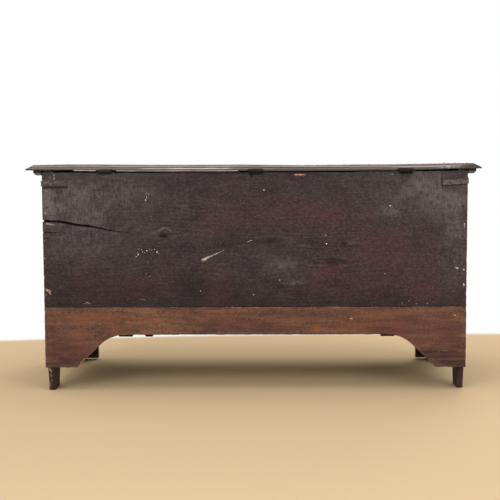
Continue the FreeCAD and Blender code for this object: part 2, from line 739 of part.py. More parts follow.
def lock_bolt():
    """Bolt in the lock, drawn back: a body that slides between the walls and a thin nose."""
    middle = bolt_middle()
    nose_end = -BOLT_BACKSET
    body_end = nose_end - BOLT_NOSE_LENGTH
    room = LOCK_DEPTH / 2 - LOCK_WALL - BOLT_GAP
    body = box(
        (body_end - BOLT_LENGTH, body_end),
        (LOCK_MIDDLE_Y - room, LOCK_MIDDLE_Y + room),
        (middle - BOLT_HEIGHT / 2, middle + BOLT_HEIGHT / 2),
    )
    half = BOLT_NOSE / 2
    nose = box(
        (body_end, nose_end), (LOCK_MIDDLE_Y - half, LOCK_MIDDLE_Y + half), (middle - half, middle + half)
    )
    return body.fuse(nose).removeSplitter()


def lock_staple():
    """Plate under the lid with an eye that drops into the lock for the bolt to pass through."""
    half = STAPLE_PLATE_LENGTH / 2
    room = LOCK_DEPTH / 2
    plate_z = CARCASS_HEIGHT - STAPLE_PLATE
    plate = box((-half, half), (LOCK_MIDDLE_Y - room, LOCK_MIDDLE_Y + room), (plate_z, CARCASS_HEIGHT))
    x = (-EYE_THICKNESS / 2, EYE_THICKNESS / 2)
    eye = box(
        x,
        (LOCK_MIDDLE_Y - EYE_WIDTH / 2, LOCK_MIDDLE_Y + EYE_WIDTH / 2),
        (CARCASS_HEIGHT - EYE_DROP, plate_z),
    )
    middle = bolt_middle()
    hole = box(
        x,
        (LOCK_MIDDLE_Y - EYE_HOLE / 2, LOCK_MIDDLE_Y + EYE_HOLE / 2),
        (middle - EYE_HOLE / 2, middle + EYE_HOLE / 2),
    )
    return plate.fuse(eye.cut(hole)).removeSplitter()


def escutcheon():
    """Brass keyhole plate: straight sides under a round head, drawn to a point below."""
    middle = CARCASS_HEIGHT - KEYHOLE_DROP
    half = ESCUTCHEON_WIDTH / 2
    low = middle - ESCUTCHEON_HEIGHT + half
    waist = (half * 0.8, (middle + low) / 2)
    outline = [
        ((0.0, middle + half), (half, middle)),
        (waist, (half * 0.5, low + half * 0.5)),
        (0.0, low),
        (-half * 0.5, low + half * 0.5),
        ((-waist[0], waist[1]), (-half, middle)),
    ]
    y = (FRONT_Y - ESCUTCHEON_PLATE, FRONT_Y)
    return along_y(outline, y).cut(keyhole(y))


class Drawer:
    """Sizes of the right-hand drawer, shared by its pieces."""

    left = HALF_MUNTIN + DRAWER_SIDE_CLEARANCE
    right = INNER_HALF - DRAWER_SIDE_CLEARANCE
    bottom = RUNNER_TOP + DRAWER_RUN_GAP
    top = OPENING_TOP - DRAWER_TOP_CLEARANCE
    face = FRONT_Y - LIP_GAP - LIP_THICKNESS
    front_inner = FRONT_Y + DRAWER_FRONT
    rear = INNER_BACK_Y - DRAWER_REAR_GAP
    side_top = top - DRAWER_SIDE_DROP
    panel_bottom = bottom + DRAWER_BOTTOM_RISE
    panel_top = panel_bottom + DRAWER_BOTTOM
    back_top = top - DRAWER_BACK_DROP
    handle_z = (bottom + top) / 2 + HANDLE_ABOVE_MIDDLE


def tails(x, y_root, y_end, z, count):
    """Dovetails along a board's end: they widen from their roots, with narrow pins left between them."""
    pitch = (z[1] - z[0]) / count
    flare = abs(y_end - y_root) * math.tan(math.radians(TAIL_SLOPE))
    wide = pitch / 2 - PIN_NARROW / 2
    narrow = wide - flare
    solids = []
    for index in range(count):
        middle = z[0] + (index + 0.5) * pitch
        outline = [
            (y_root, middle - narrow),
            (y_end, middle - wide),
            (y_end, middle + wide),
            (y_root, middle + narrow),
        ]
        solids.append(along_x(outline, x))
    return solids


def drawer_side(x):
    """Drawer side with lapped tails at the front and through tails at the back, before it is grooved."""
    back_root = Drawer.rear - DRAWER_SIDE
    side = box(x, (Drawer.front_inner, back_root), (Drawer.bottom, Drawer.side_top))
    below_back = box(x, (back_root, Drawer.rear), (Drawer.bottom, Drawer.panel_top))
    front_end = FRONT_Y + TAIL_LAP
    front_z = (Drawer.bottom, Drawer.side_top)
    back_z = (Drawer.panel_top, Drawer.back_top)
    front_tails = tails(x, Drawer.front_inner, front_end, front_z, FRONT_TAIL_COUNT)
    back_tails = tails(x, back_root, Drawer.rear, back_z, BACK_TAIL_COUNT)
    return side.fuse([below_back, *front_tails, *back_tails]).removeSplitter()


def lip_board():
    """The part of a drawer front that laps over the carcass, with a stepped quarter round on its edges."""
    x = (HALF_MUNTIN - LIP_OVERLAP, INNER_HALF + LIP_OVERLAP)
    z = (RUNNER_TOP - LIP_OVERLAP, OPENING_TOP + LIP_OVERLAP)
    back = FRONT_Y - LIP_GAP
    shoulder = Drawer.face + LIP_STEP
    lip = box(x, (shoulder, back), z)
    front_edges = [edge for edge in lip.Edges if edge.BoundBox.YMax < shoulder + LIP_STEP]
    lip = lip.makeFillet(LIP_ROUND, front_edges)
    field = box(
        (x[0] + LIP_ROUND, x[1] - LIP_ROUND),
        (Drawer.face, shoulder),
        (z[0] + LIP_ROUND, z[1] - LIP_ROUND),
    )
    return lip.fuse(field).removeSplitter()


def handle_middles():
    """Where the two handles of the right drawer are, along X."""
    return (Drawer.left + HANDLE_FROM_SIDE, Drawer.right - HANDLE_FROM_SIDE)


def post_places():
    """The four handle posts of the right drawer, along X."""
    return [middle + side * POST_SPACING / 2 for middle in handle_middles() for side in (-1, 1)]


def drawer_pieces():
    """Front, two sides, back and bottom of the right drawer, dovetailed and grooved together."""
    inner = (Drawer.left, Drawer.left + DRAWER_SIDE)
    outer = (Drawer.right - DRAWER_SIDE, Drawer.right)
    sides = [drawer_side(inner), drawer_side(outer)]
    panel = box(
        (inner[1] - DRAWER_GROOVE, outer[0] + DRAWER_GROOVE),
        (Drawer.front_inner - DRAWER_GROOVE, Drawer.rear),
        (Drawer.panel_bottom, Drawer.panel_top),
    )
    x = (Drawer.left, Drawer.right)
    core = box(x, (FRONT_Y - LIP_GAP, Drawer.front_inner), (Drawer.bottom, Drawer.top))
    front = core.fuse(lip_board()).removeSplitter()
    back = box(x, (Drawer.rear - DRAWER_SIDE, Drawer.rear), (Drawer.panel_top, Drawer.back_top))
    for side in sides:
        front = front.cut(side)
        back = back.cut(side)
    front = front.cut(panel)
    depth = Drawer.front_inner - Drawer.face
    for place in post_places():
        start = Vector(place, Drawer.face, Drawer.handle_z)
        front = front.cut(round_bar(start, POST_RADIUS + POST_CLEARANCE, Vector(0, 1, 0), depth))
    sides = [side.cut(panel) for side in sides]
    return front, sides[0], sides[1], back, panel


def handle_post(x):
    """Brass post through the drawer front, with a pommel that the bail pivots in."""
    axis_y = Drawer.face - POST_STANDOFF
    centre = Vector(x, axis_y, Drawer.handle_z)
    half = POMMEL_WIDTH / 2
    bore = BAIL_PIN_RADIUS + BAIL_PIN_CLEARANCE
    rim = math.sqrt(POMMEL_RADIUS**2 - half**2)
    outline = [(-half, bore), (half, bore), (half, rim), ((0.0, POMMEL_RADIUS), (-half, rim))]
    ring = profile(outline, lambda u, r: centre + Vector(u, 0, r))
    pommel = ring.revolve(centre, Vector(1, 0, 0), 360)
    shank = round_bar(centre, POST_RADIUS, Vector(0, 1, 0), Drawer.front_inner + POST_TAIL - axis_y)
    pivot = round_bar(centre - Vector(half, 0, 0), bore, Vector(1, 0, 0), POMMEL_WIDTH)
    return shank.cut(pivot).fuse(pommel)


def handle_rose(x):
    """Domed brass rose between the pommel and the drawer front."""
    face = Drawer.face
    bore = POST_RADIUS + POST_CLEARANCE
    outline = [
        (bore, face),
        (ROSE_RADIUS, face),
        (ROSE_RADIUS, face - ROSE_RIM),
        (
            ((ROSE_RADIUS + ROSE_CROWN_RADIUS) / 2, face - (ROSE_RIM + ROSE_CROWN) / 2 - ROSE_RIM / 4),
            (ROSE_CROWN_RADIUS, face - ROSE_CROWN),
        ),
        (bore, face - ROSE_CROWN),
    ]
    disc = profile(outline, lambda r, y: Vector(x + r, y, Drawer.handle_z))
    return disc.revolve(Vector(x, 0, Drawer.handle_z), Vector(0, 1, 0), 360)


def handle_nut(x):
    """Square nut that holds the post inside the drawer."""
    half = NUT_SIZE / 2
    y = (Drawer.front_inner, Drawer.front_inner + NUT_THICKNESS)
    nut = box((x - half, x + half), y, (Drawer.handle_z - half, Drawer.handle_z + half))
    start = Vector(x, y[0], Drawer.handle_z)
    return nut.cut(round_bar(start, POST_RADIUS + POST_CLEARANCE, Vector(0, 1, 0), NUT_THICKNESS))


def bail_path():
    """Half of a swan-neck bail, from its pin to the bottom, as arcs: (centre, radius, first and last lean).

    A lean is the angle of travel from straight down towards the middle of the handle, so the shoulder turns
    from outwards to inwards, the neck turns back, and the belly and the bow turn in to the bottom.
    """
    start = POST_SPACING / 2 + POMMEL_WIDTH / 2 + BAIL_SIDE_GAP
    arcs = []
    point = (start, 0.0)
    turns = (
        (SHOULDER_RADIUS, -90.0, NECK_LEAN_IN, 1),
        (NECK_RADIUS, NECK_LEAN_IN, -NECK_LEAN_OUT, -1),
        (BELLY_RADIUS, -NECK_LEAN_OUT, BELLY_END, 1),
    )
    for radius, first, last, sense in turns:
        centre = on_circle(point, -sense * radius, -first)
        arcs.append((centre, radius, first, last, sense))
        point = on_circle(centre, sense * radius, -last)
    bow = point[0] / math.cos(math.radians(BELLY_END))
    arcs.append((on_circle(point, -bow, -BELLY_END), bow, BELLY_END, 90.0, 1))
    return arcs


def bail(middle):
    """Swan-neck bail that hangs from two pommels, one unbroken rod with a pin at each end."""
    axis_y = Drawer.face - POST_STANDOFF

    def place(u, w):
        return Vector(middle + u, axis_y, Drawer.handle_z + w)

    right = []
    for centre, radius, first, last, sense in bail_path():
        leans = (first, (first + last) / 2, last)
        points = [on_circle(centre, sense * radius, -lean) for lean in leans]
        right.append(points)
    left = [[(-u, w) for u, w in reversed(points)] for points in reversed(right)]
    edges = [Part.Arc(*[place(*p) for p in points]).toShape() for points in right + left]
    start = place(*right[0][0])
    section = Part.Wire(Part.makeCircle(BAIL_RADIUS, start, Vector(1, 0, 0)))
    rod = Part.Wire(edges).makePipeShell([section], True, False)
    pin_end = POST_SPACING / 2 - POMMEL_WIDTH / 2 + BAIL_SIDE_GAP
    pin_length = right[0][0][0] - pin_end
    for side in (-1, 1):
        pin = round_bar(place(side * pin_end, 0.0), BAIL_PIN_RADIUS, Vector(side, 0, 0), pin_length)
        rod = rod.fuse(pin)
    return rod


def save_pair(name, right):
    """Writes a piece and its mirror image as two nodes."""
    save(f"{name}_right", right)
    save(f"{name}_left", mirrored(right))


def save_carcass():
    right_foot = rear_foot(RIGHT_FOOT_SIDE_INSET, RIGHT_FOOT_REAR_INSET)
    left_foot = mirrored(rear_foot(LEFT_FOOT_SIDE_INSET, LEFT_FOOT_REAR_INSET))
    save("rear_foot_right", right_foot)
    save("rear_foot_left", left_foot)
    save("end_board_right", end_board().cut(right_foot))
    save("end_board_left", mirrored(end_board()).cut(left_foot))
    save("front_board", front_board())
    save("back_board", back_board())
    save("back_plinth_board", back_plinth_board())
    plinth_y = (FRONT_Y, FRONT_Y + PLINTH_BOARD)
    save("front_plinth_rail", box((-HALF_WIDTH, HALF_WIDTH), plinth_y, (PLINTH_EDGE, RAIL_BOTTOM)))
    save_pair("front_bracket", front_bracket())
    plinth_strip = RAIL_BOTTOM - PLINTH_MOULDING_HEIGHT
    save("plinth_moulding", front_moulding(plinth_strip, PLINTH_MOULDING_HEIGHT, PLINTH_MOULDING_PROUD))
    waist_strip = OPENING_TOP + WAIST_MOULDING_RISE
    save("waist_moulding", front_moulding(waist_strip, WAIST_MOULDING_HEIGHT, WAIST_MOULDING_PROUD))
    save("bottom_rail", bottom_rail_blank().cut(muntin()))
    save("centre_muntin", muntin())
    save("drawer_runners", *drawer_runners())
    save("drawer_guide", drawer_guide())
    save("drawer_stops", *drawer_stops())
    save("floor_bearers", *floor_bearers())
    save("chest_floor_boards", *chest_floor_boards())
    save("rear_corner_blocks", rear_corner_block(), mirrored(rear_corner_block()))
    save("front_corner_blocks", front_corner_block(), mirrored(front_corner_block()))
    save("plinth_glue_block", glue_block())
    save_pair("corner_strap", corner_strap())


def save_lid_and_hinges():
    front, rear = lid_boards()
    save("lid_front_board", front)
    save("lid_rear_board", rear)
    save_pair("lid_cleat", lid_cleat())
    middles = {
        "left": LEFT_HINGE_FROM_END - HALF_WIDTH,
        "centre": CENTRE_HINGE_SHIFT,
        "right": HALF_WIDTH - RIGHT_HINGE_FROM_END,
    }
    for name, middle in middles.items():
        save(f"hinge_{name}_back_leaf", hinge_back_leaf(middle))
        save(f"hinge_{name}_lid_strap", hinge_lid_strap(middle))
    save("hinge_pins", *[hinge_pin(middle) for middle in middles.values()])


def save_lock():
    save("lock_case", lock_case())
    save("lock_bolt", lock_bolt())
    save("lock_staple", lock_staple())
    save("lock_escutcheon", escutcheon())


def save_drawers():
    names = ("front", "inner_side", "outer_side", "back", "bottom")
    for name, piece in zip(names, drawer_pieces()):
        save(f"right_drawer_{name}", piece)
        save(f"left_drawer_{name}", mirrored(piece))
    for name, make in (("posts", handle_post), ("roses", handle_rose), ("nuts", handle_nut)):
        group = [make(x) for x in post_places()]
        save(f"right_drawer_handle_{name}", *group)
        save(f"left_drawer_handle_{name}", *[mirrored(piece) for piece in group])
    for name, middle in zip(("inner", "outer"), handle_middles()):
        hanging = bail(middle)
        save(f"right_drawer_{name}_bail", hanging)
        save(f"left_drawer_{name}_bail", mirrored(hanging))


def main():
    os.makedirs("parts", exist_ok=True)
    save_carcass()
    save_lid_and_hinges()
    save_lock()
    save_drawers()


main()
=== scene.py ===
"""Mule chest seen from behind: an old boarded oak chest with a lift-up lid over two drawers.

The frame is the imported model: X to the right seen from the front, Y towards the back, Z up, in metres.
"""

import math

import bmesh
import bpy
import numpy as np
from mathutils import Matrix, Vector


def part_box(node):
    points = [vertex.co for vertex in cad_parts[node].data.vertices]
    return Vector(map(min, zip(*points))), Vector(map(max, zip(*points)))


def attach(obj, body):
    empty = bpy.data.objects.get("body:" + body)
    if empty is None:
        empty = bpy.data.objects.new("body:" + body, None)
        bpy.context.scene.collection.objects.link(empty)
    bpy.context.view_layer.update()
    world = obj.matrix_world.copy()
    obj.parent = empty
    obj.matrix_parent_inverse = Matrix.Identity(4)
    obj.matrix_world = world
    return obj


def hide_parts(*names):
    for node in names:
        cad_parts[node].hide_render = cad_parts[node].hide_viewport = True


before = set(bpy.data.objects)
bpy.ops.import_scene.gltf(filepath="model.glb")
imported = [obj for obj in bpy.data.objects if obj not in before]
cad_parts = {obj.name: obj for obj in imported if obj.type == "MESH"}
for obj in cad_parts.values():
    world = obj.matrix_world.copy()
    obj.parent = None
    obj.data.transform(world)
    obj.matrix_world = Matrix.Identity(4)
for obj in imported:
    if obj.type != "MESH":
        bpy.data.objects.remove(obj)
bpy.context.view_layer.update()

MM = 0.001


def corners(node):
    """Lowest and highest corner of a CAD node, to a hundredth of a millimetre."""
    return np.round(np.array(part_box(node), float), 5).tolist()


def unit(values):
    """Values cut off below 0 and above 1."""
    return np.clip(values, 0.0, 1.0)


def bell(values, middle, width):
    """A bell curve of height 1: e to the minus square of the distance from the middle, in widths."""
    return np.exp(-(((values - middle) / width) ** 2))


# Places on the chest, from the frame
(_, BACK_INNER, SEAM), (SIDE, BACK_FACE, BACK_TOP) = corners("back_board")
(_, _, PLINTH_FOOT), (_, PLINTH_FACE, _) = corners("back_plinth_board")
(_, LID_FRONT, LID_UNDER), (_, LID_JOINT, LID_TOP) = corners("lid_front_board")
LID_REAR = corners("lid_rear_board")[1][1]
LID_THICK = LID_TOP - LID_UNDER
END_INNER = corners("end_board_right")[0][0]
(_, FRONT_FACE, _), (_, FRONT_INNER, _) = corners("front_board")
DRAWER_INNER = corners("left_drawer_front")[1][1]
BRACKET_INNER = corners("front_bracket_left")[1][1]
CLEAT_TOP = corners("lid_cleat_right")[1][2]
(STRAP_TIP, STRAP_END, STRAP_LOW), (STRAP_SIDE, STRAP_REAR, STRAP_HIGH) = corners("corner_strap_right")
STRAP_LEVEL = (STRAP_LOW + STRAP_HIGH) / 2
HINGE_LEAVES = [corners(f"hinge_{part}_back_leaf") for part in ("right", "centre", "left")]
HINGES = np.round([(low[0] + high[0]) / 2 for low, high in HINGE_LEAVES], 5)
LEAF_INNER = HINGE_LEAVES[0][0][1]
# Wood this near a hinge's middle is held up by it and not worn
HINGE_REACH = 24 * MM


def tone(code):
    """An sRGB hex colour as linear red, green, blue and alpha."""
    parts = [int(code[i:i + 2], 16) / 255 for i in (1, 3, 5)]
    return (*(c / 12.92 if c <= 0.04045 else ((c + 0.055) / 1.055) ** 2.4 for c in parts), 1.0)


def add(tree, kind, inputs=None, out=0, **settings):
    """Adds one node: its properties are set, an input that is a socket is linked, any other is set.
    Gives back the numbered or named output."""
    node = tree.nodes.new("ShaderNode" + kind)
    for name, value in settings.items():
        setattr(node, name, value)
    for name, value in (inputs or {}).items():
        if isinstance(value, bpy.types.NodeSocket):
            tree.links.new(value, node.inputs[name])
        else:
            node.inputs[name].default_value = value
    return node.outputs[out] if len(node.outputs) else node


# Camera: found by fitting the corners of the back, the lid and the brackets

def photo_camera():
    """The photograph's camera: behind the chest, a little to one side, looking slightly down."""
    yaw, pitch, roll = math.radians(0.949), math.radians(4.977), math.radians(-0.289)
    place = Matrix.Translation((-0.03766, 3.32325, 0.68871))
    level = Matrix.Rotation(math.pi + yaw, 4, "Z") @ Matrix.Rotation(math.pi / 2 - pitch, 4, "X")
    data = bpy.data.cameras.new("photo_camera")
    data.lens, data.sensor_width = 74.43, 36.0
    data.clip_end = 100.0
    camera = bpy.data.objects.new("photo_camera", data)
    camera.matrix_world = place @ level @ Matrix.Rotation(roll, 4, "Z")
    bpy.context.scene.collection.objects.link(camera)
    bpy.context.scene.camera = camera


# Patterns and finishes

GRAIN_TURN = {"x": (0.0, 0.0, 0.0), "y": (0.0, 0.0, -math.pi / 2), "z": (0.0, math.pi / 2, 0.0)}

# Noise patterns: squeeze along the grain and the two ways across it, size in millimetres, detail, roughness.
# Fibres and pores are drawn two or three times as coarse as in real oak, so that they show.
PATTERNS = {
    "streak": ((0.07, 1.0, 1.0), 6.0, 3.0, 0.6),
    "fibre": ((0.025, 1.0, 1.0), 1.3, 2.0, 0.5),
    "pores": ((0.025, 1.0, 1.0), 0.8, 1.0, 0.5),
    "weather": ((0.02, 1.0, 1.0), 3.2, 3.0, 0.65),
    "band": ((0.11, 1.0, 1.0), 22.0, 2.0, 0.55),
    "ray": ((0.3, 1.0, 1.0), 9.0, 2.0, 0.7),
    "cloud": ((1.0, 1.0, 1.0), 150.0, 3.0, 0.5),
    "blotch": ((0.6, 1.0, 1.0), 46.0, 3.0, 0.6),
    "mottle": ((1.0, 1.0, 1.0), 12.0, 4.0, 0.65),
    "grit": ((0.6, 1.0, 1.0), 3.6, 2.0, 0.7),
    "scrape": ((1.0, 1.0, 0.2), 3.4, 3.0, 0.7),
    "hammer": ((1.0, 1.0, 1.0), 9.0, 2.0, 0.5),
    "scale": ((1.0, 1.0, 1.0), 1.6, 3.0, 0.7),
    "cast": ((1.0, 1.0, 1.0), 6.0, 3.0, 0.5),
    "pits": ((1.0, 1.0, 1.0), 1.2, 2.0, 0.7),
}


def patterns(tree, run, place, growth, inside):
    """Gives back a function that makes a pattern by name, each one once. The grain runs along one axis, and
    place shifts the figure so that no two boards match. A name in the table is noise, and a name with a star
    is a product. rings are the growth rings round a pith outside the board, arris is the cosine between the
    true face and one rounded over 5 mm, nook is how open a place is within 30 mm, and inside goes from 0 to
    1 between two coordinates. Any other name is a mark on the piece."""
    where = add(tree, "TexCoord", out="Object")
    board = add(tree, "Mapping", {0: where, 1: place, 2: GRAIN_TURN[run]})
    made = {}

    def rings():
        width, *pith = growth
        drawn = add(tree, "Mapping", {0: board, 3: (0.07, 1.0, 1.0)})
        sway = add(tree, "TexNoise", {"Vector": drawn, "Scale": 1 / (70 * MM), "Detail": 2.0}, out="Color")
        shifted = {0: sway, 1: (0.0, 26 * MM, 26 * MM), 2: board}
        swayed = add(tree, "VectorMath", shifted, operation="MULTIPLY_ADD")
        centre = (0.0, -pith[0] * MM, -pith[1] * MM)
        centred = add(tree, "Mapping", {0: swayed, 1: centre, 3: (0.1, 1.0, 1.0)})
        wave = {"Vector": centred, "Scale": math.tau / (20 * width * MM), "Distortion": 1.2, "Detail": 2.0}
        wave["Detail Scale"] = 0.4
        settings = {"wave_type": "RINGS", "rings_direction": "X", "wave_profile": "SAW"}
        return add(tree, "TexWave", wave, out=1, **settings)

    def arris():
        rounded = add(tree, "Bevel", {"Radius": 5 * MM}, samples=4)
        true = add(tree, "NewGeometry", out="Normal")
        return add(tree, "VectorMath", {0: rounded, 1: true}, out="Value", operation="DOT_PRODUCT")

    def nook():
        return add(tree, "AmbientOcclusion", {"Distance": 30 * MM}, out="AO", samples=4)

    def depth():
        axis, first, last = inside
        along = add(tree, "SeparateXYZ", {0: where}, out=axis.strip("|").upper())
        if axis.startswith("|"):
            along = add(tree, "Math", {0: along}, operation="ABSOLUTE")
        return add(tree, "MapRange", {0: along, 1: first, 2: last})

    special = {"rings": rings, "arris": arris, "nook": nook, "inside": depth}

    def pattern(name):
        if name in made:
            return made[name]
        if "*" in name:
            first, second = name.split("*")
            made[name] = add(tree, "Math", {0: pattern(first), 1: pattern(second)}, operation="MULTIPLY")
        elif name in special:
            made[name] = special[name]()
        elif name in PATTERNS:
            squeeze, grain, detail, rough = PATTERNS[name]
            drawn = add(tree, "Mapping", {0: board, 3: squeeze})
            noise = {"Vector": drawn, "Scale": 1 / (grain * MM), "Detail": detail, "Roughness": rough}
            made[name] = add(tree, "TexNoise", noise)
        else:
            made[name] = add(tree, "Attribute", out="Fac", attribute_name=name)
        return made[name]

    return pattern


def coats(tree, pattern, ground, layers):
    """Colour built up in coats. Each coat is a pattern, the two values between which it comes in, how strong
    it gets, and its colour, which may itself be a ground with coats."""
    colour = tone(ground)
    for name, low, high, strength, coat in layers:
        cover = add(tree, "MapRange", {0: pattern(name), 1: low, 2: high, 3: 0.0, 4: strength})
        coat = tone(coat) if isinstance(coat, str) else coats(tree, pattern, *coat)
        colour = add(tree, "Mix", {0: cover, 6: colour, 7: coat}, out=2, data_type="RGBA")
    return colour


def finish(name, colours, rough, relief, run="x", place=(0, 0, 0), growth=(5, 140, -60), inside=None,
           **shader):
    """A material: colour in coats, roughness between two values by a pattern, and height as a sum of
    patterns in millimetres. growth is the ring width and the pith's place across the board, in millimetres.
    The uniform values, with low lines for spaces, are set on the shader."""
    material = bpy.data.materials.new(name)
    material.use_nodes = True
    tree = material.node_tree
    tree.nodes.clear()
    pattern = patterns(tree, run, place, growth, inside)
    grain, smooth, coarse = rough
    roughness = add(tree, "MapRange", {0: pattern(grain), 1: 0.3, 2: 0.7, 3: smooth, 4: coarse})
    height = 0.0
    for part, rise in relief:
        height = add(tree, "Math", {0: pattern(part), 1: rise, 2: height}, operation="MULTIPLY_ADD")
    bump = add(tree, "Bump", {"Strength": 1.0, "Distance": MM, "Height": height})
    inputs = {"Base Color": coats(tree, pattern, *colours), "Roughness": roughness, "Normal": bump}
    inputs.update({key.replace("_", " "): value for key, value in shader.items()})
    add(tree, "OutputMaterial", {0: add(tree, "BsdfPrincipled", inputs)})
    return material


# Sawn oak, never finished and two centuries dry: greyish tan and dusty, with dark pores and furry saw marks
DRY_OAK = ("#86704f", (
    ("cloud", 0.3, 0.7, 0.6, "#70583d"),
    ("streak", 0.42, 0.7, 0.6, "#a08767"),
    ("rings", 0.5, 1.0, 0.3, "#664c33"),
    ("pores", 0.58, 0.72, 0.55, "#4b3724"),
    ("mottle", 0.55, 0.8, 0.35, "#ac967a"),
))

# The same oak under dirt and painted shade, as on the hidden backs of the plinth: nearly black
GRIME_AND_SHADE_OAK = ("#1f1814", (
    ("cloud", 0.35, 0.7, 0.6, "#15100d"),
    ("streak", 0.45, 0.7, 0.4, "#2f251e"),
    ("grit", 0.55, 0.8, 0.3, "#3a3027"),
))

# Sawn oak under an old dark stain: nearly black brown, red where it is thin, grey where dust and wear have
# dulled it, bare wood where it is knocked
STAINED_OAK = ("#312628", (
    ("cloud", 0.35, 0.68, 0.45, "#3b2f31"),
    ("streak", 0.42, 0.7, 0.4, "#443738"),
    ("blotch", 0.5, 0.66, 0.75, "#241b1d"),
    ("blotch", 0.46, 0.3, 0.5, "#453839"),
    ("mottle*red", 0.08, 0.58, 0.85, "#4d2a2e"),
    ("mottle*dust", 0.1, 0.75, 0.8, "#5f5b5c"),
    ("grain", 0.55, 1.0, 0.8, "#564a4b"),
    ("grain", 0.45, 0.0, 0.9, "#1f1719"),
    ("scrape*dust", 0.26, 0.5, 0.6, "#7a7475"),
    ("mottle", 0.54, 0.72, 0.5, "#55494b"),
    ("mottle", 0.44, 0.3, 0.65, "#231b1d"),
    ("grit", 0.54, 0.74, 0.55, "#605758"),
    ("grit", 0.46, 0.3, 0.65, "#1f1819"),
    # Darker at knots, in patches, along the scores and towards the bottom and the top edge; painted shade
    # inside the splits and painted shadow under the corner straps
    ("soot", 0.0, 1.0, 0.9, "#161011"),
    ("grit*rust", 0.16, 0.44, 0.9, "#b08467"),
    ("grit*bare", 0.23, 0.47, 0.95, "#dad1ca"),
    ("raw", 0.0, 1.0, 0.95, DRY_OAK),
))

# Planed oak under a thinner red-brown stain: the grain shows through in dark and orange bands
RED_STAINED_OAK = ("#5b3b30", (
    ("cloud", 0.35, 0.65, 0.5, "#55322a"),
    ("band", 0.44, 0.64, 0.9, "#825c45"),
    ("blotch", 0.48, 0.68, 0.8, "#442a24"),
    ("streak", 0.45, 0.7, 0.5, "#7d5743"),
    ("rings", 0.5, 1.0, 0.35, "#462a22"),
    ("mottle", 0.54, 0.74, 0.6, "#8c6049"),
    ("mottle", 0.45, 0.28, 0.7, "#3d231c"),
    ("grit", 0.55, 0.75, 0.6, "#966d57"),
    ("grit", 0.45, 0.3, 0.7, "#321d18"),
    ("fibre", 0.55, 0.75, 0.4, "#3d251e"),
    ("mottle*red", 0.08, 0.55, 0.7, "#5a302b"),
    ("rust", 0.1, 0.9, 0.7, "#93532d"),
    ("soot", 0.0, 1.0, 0.75, "#2a1916"),
    # On the plinth this pale coat also paints a highlight along the top arris
    ("grit*bare", 0.12, 0.42, 0.9, "#bb9672"),
    # Inner face of the plinth: near black, dirt and painted shade
    ("raw", 0.0, 1.0, 0.95, GRIME_AND_SHADE_OAK),
))

# Oak with generations of wax: warm brown, dark open pores, paler rays, arrises rubbed lighter
WAXED_OAK = ("#583420", (
    ("cloud", 0.3, 0.7, 0.7, "#432617"),
    ("band", 0.44, 0.66, 0.6, "#714629"),
    ("streak", 0.42, 0.7, 0.55, "#7a4d2d"),
    ("rings", 0.4, 1.0, 0.55, "#341d12"),
    ("ray", 0.6, 0.68, 0.35, "#8a5b37"),
    ("pores", 0.58, 0.72, 0.6, "#23130b"),
    ("grit", 0.45, 0.3, 0.35, "#27150d"),
    ("mottle", 0.6, 0.85, 0.25, "#875c3b"),
))
# Darker the more closed a place is, partly wax in the nooks and partly painted shade, and hands have rubbed
# the arrises
RUBBED_AND_SHADED = (("nook", 0.8, 0.3, 0.75, "#1a0f0a"), ("arris", 0.985, 0.8, 0.55, "#96693f"))
# Cleats: worn grey below and black where the lid shades them
GREY_CLEAT = ("#665f5d", (
    ("streak", 0.45, 0.7, 0.5, "#7d7674"),
    ("grit", 0.46, 0.3, 0.5, "#38312f"),
    ("inside", 0.0, 1.0, 0.95, GRIME_AND_SHADE_OAK),
))
# Inner faces that were never waxed: bare, or in the plinth near black with dirt and painted shade
BARE_INSIDE = (("inside", 0.0, 1.0, 0.9, DRY_OAK),)
GRIME_AND_SHADE_INSIDE = (("inside", 0.0, 1.0, 0.95, GRIME_AND_SHADE_OAK),)

# The lid's rear edge, where the stain has worn off and the oak has weathered grey in long fibres
GREY_EDGE = ("#716869", (
    ("weather", 0.38, 0.66, 0.6, "#8f8788"),
    ("fibre", 0.52, 0.72, 0.4, "#524a4a"),
    ("grit", 0.45, 0.3, 0.45, "#454041"),
))
# On the rear edge the pale coat is partly wear, partly painted highlight on the reeds and painted light seen
# through the gap under the lid; the dark coat is painted shade in the grooves, over the back board and under
# the rear of the lid
LID_MARKS = (
    ("under", 0.0, 1.0, 0.9, DRY_OAK),
    ("rear", 0.0, 1.0, 1.0, GREY_EDGE),
    ("soot", 0.0, 1.0, 0.95, "#292222"),
    ("bare", 0.05, 0.9, 0.95, "#d6cfcd"),
)

# Hammered wrought iron, blackened with old paint and rust: dull and uneven, brown in the hollows
BLACK_IRON = ("#150e0c", (
    ("hammer", 0.4, 0.65, 0.5, "#221814"),
    ("scale", 0.52, 0.75, 0.6, "#3a2216"),
))
PAINTED_IRON = ("#4b4443", (
    ("hammer", 0.42, 0.62, 0.8, "#6e6766"),
    ("scale", 0.54, 0.75, 0.5, "#51443f"),
    ("grit", 0.54, 0.72, 0.5, "#7d7674"),
    ("grit", 0.46, 0.3, 0.75, "#2b2223"),
    ("soot", 0.0, 1.0, 1.0, "#2b2223"),
))

# Cast brass: rubbed on the high places, brown with tarnish in the hollows
TARNISHED_BRASS = ("#a8803f", (
    ("cast", 0.4, 0.68, 0.75, "#6b4a22"),
    ("pits", 0.56, 0.75, 0.6, "#3f2c16"),
))

# Specks of white paint flicked on the back, yellowed
OLD_PAINT = ("#dfd9d3", (("scale", 0.5, 0.8, 0.6, "#b8afa6"),))

# Relief of each kind of surface: pattern and height in millimetres
SAWN = (("fibre", 0.35), ("streak", 0.4), ("mottle", 0.25))
PLANED = (("pores", -0.16), ("streak", 0.12), ("rings", 0.06))
FORGED = (("hammer", 0.35), ("scale", 0.12))


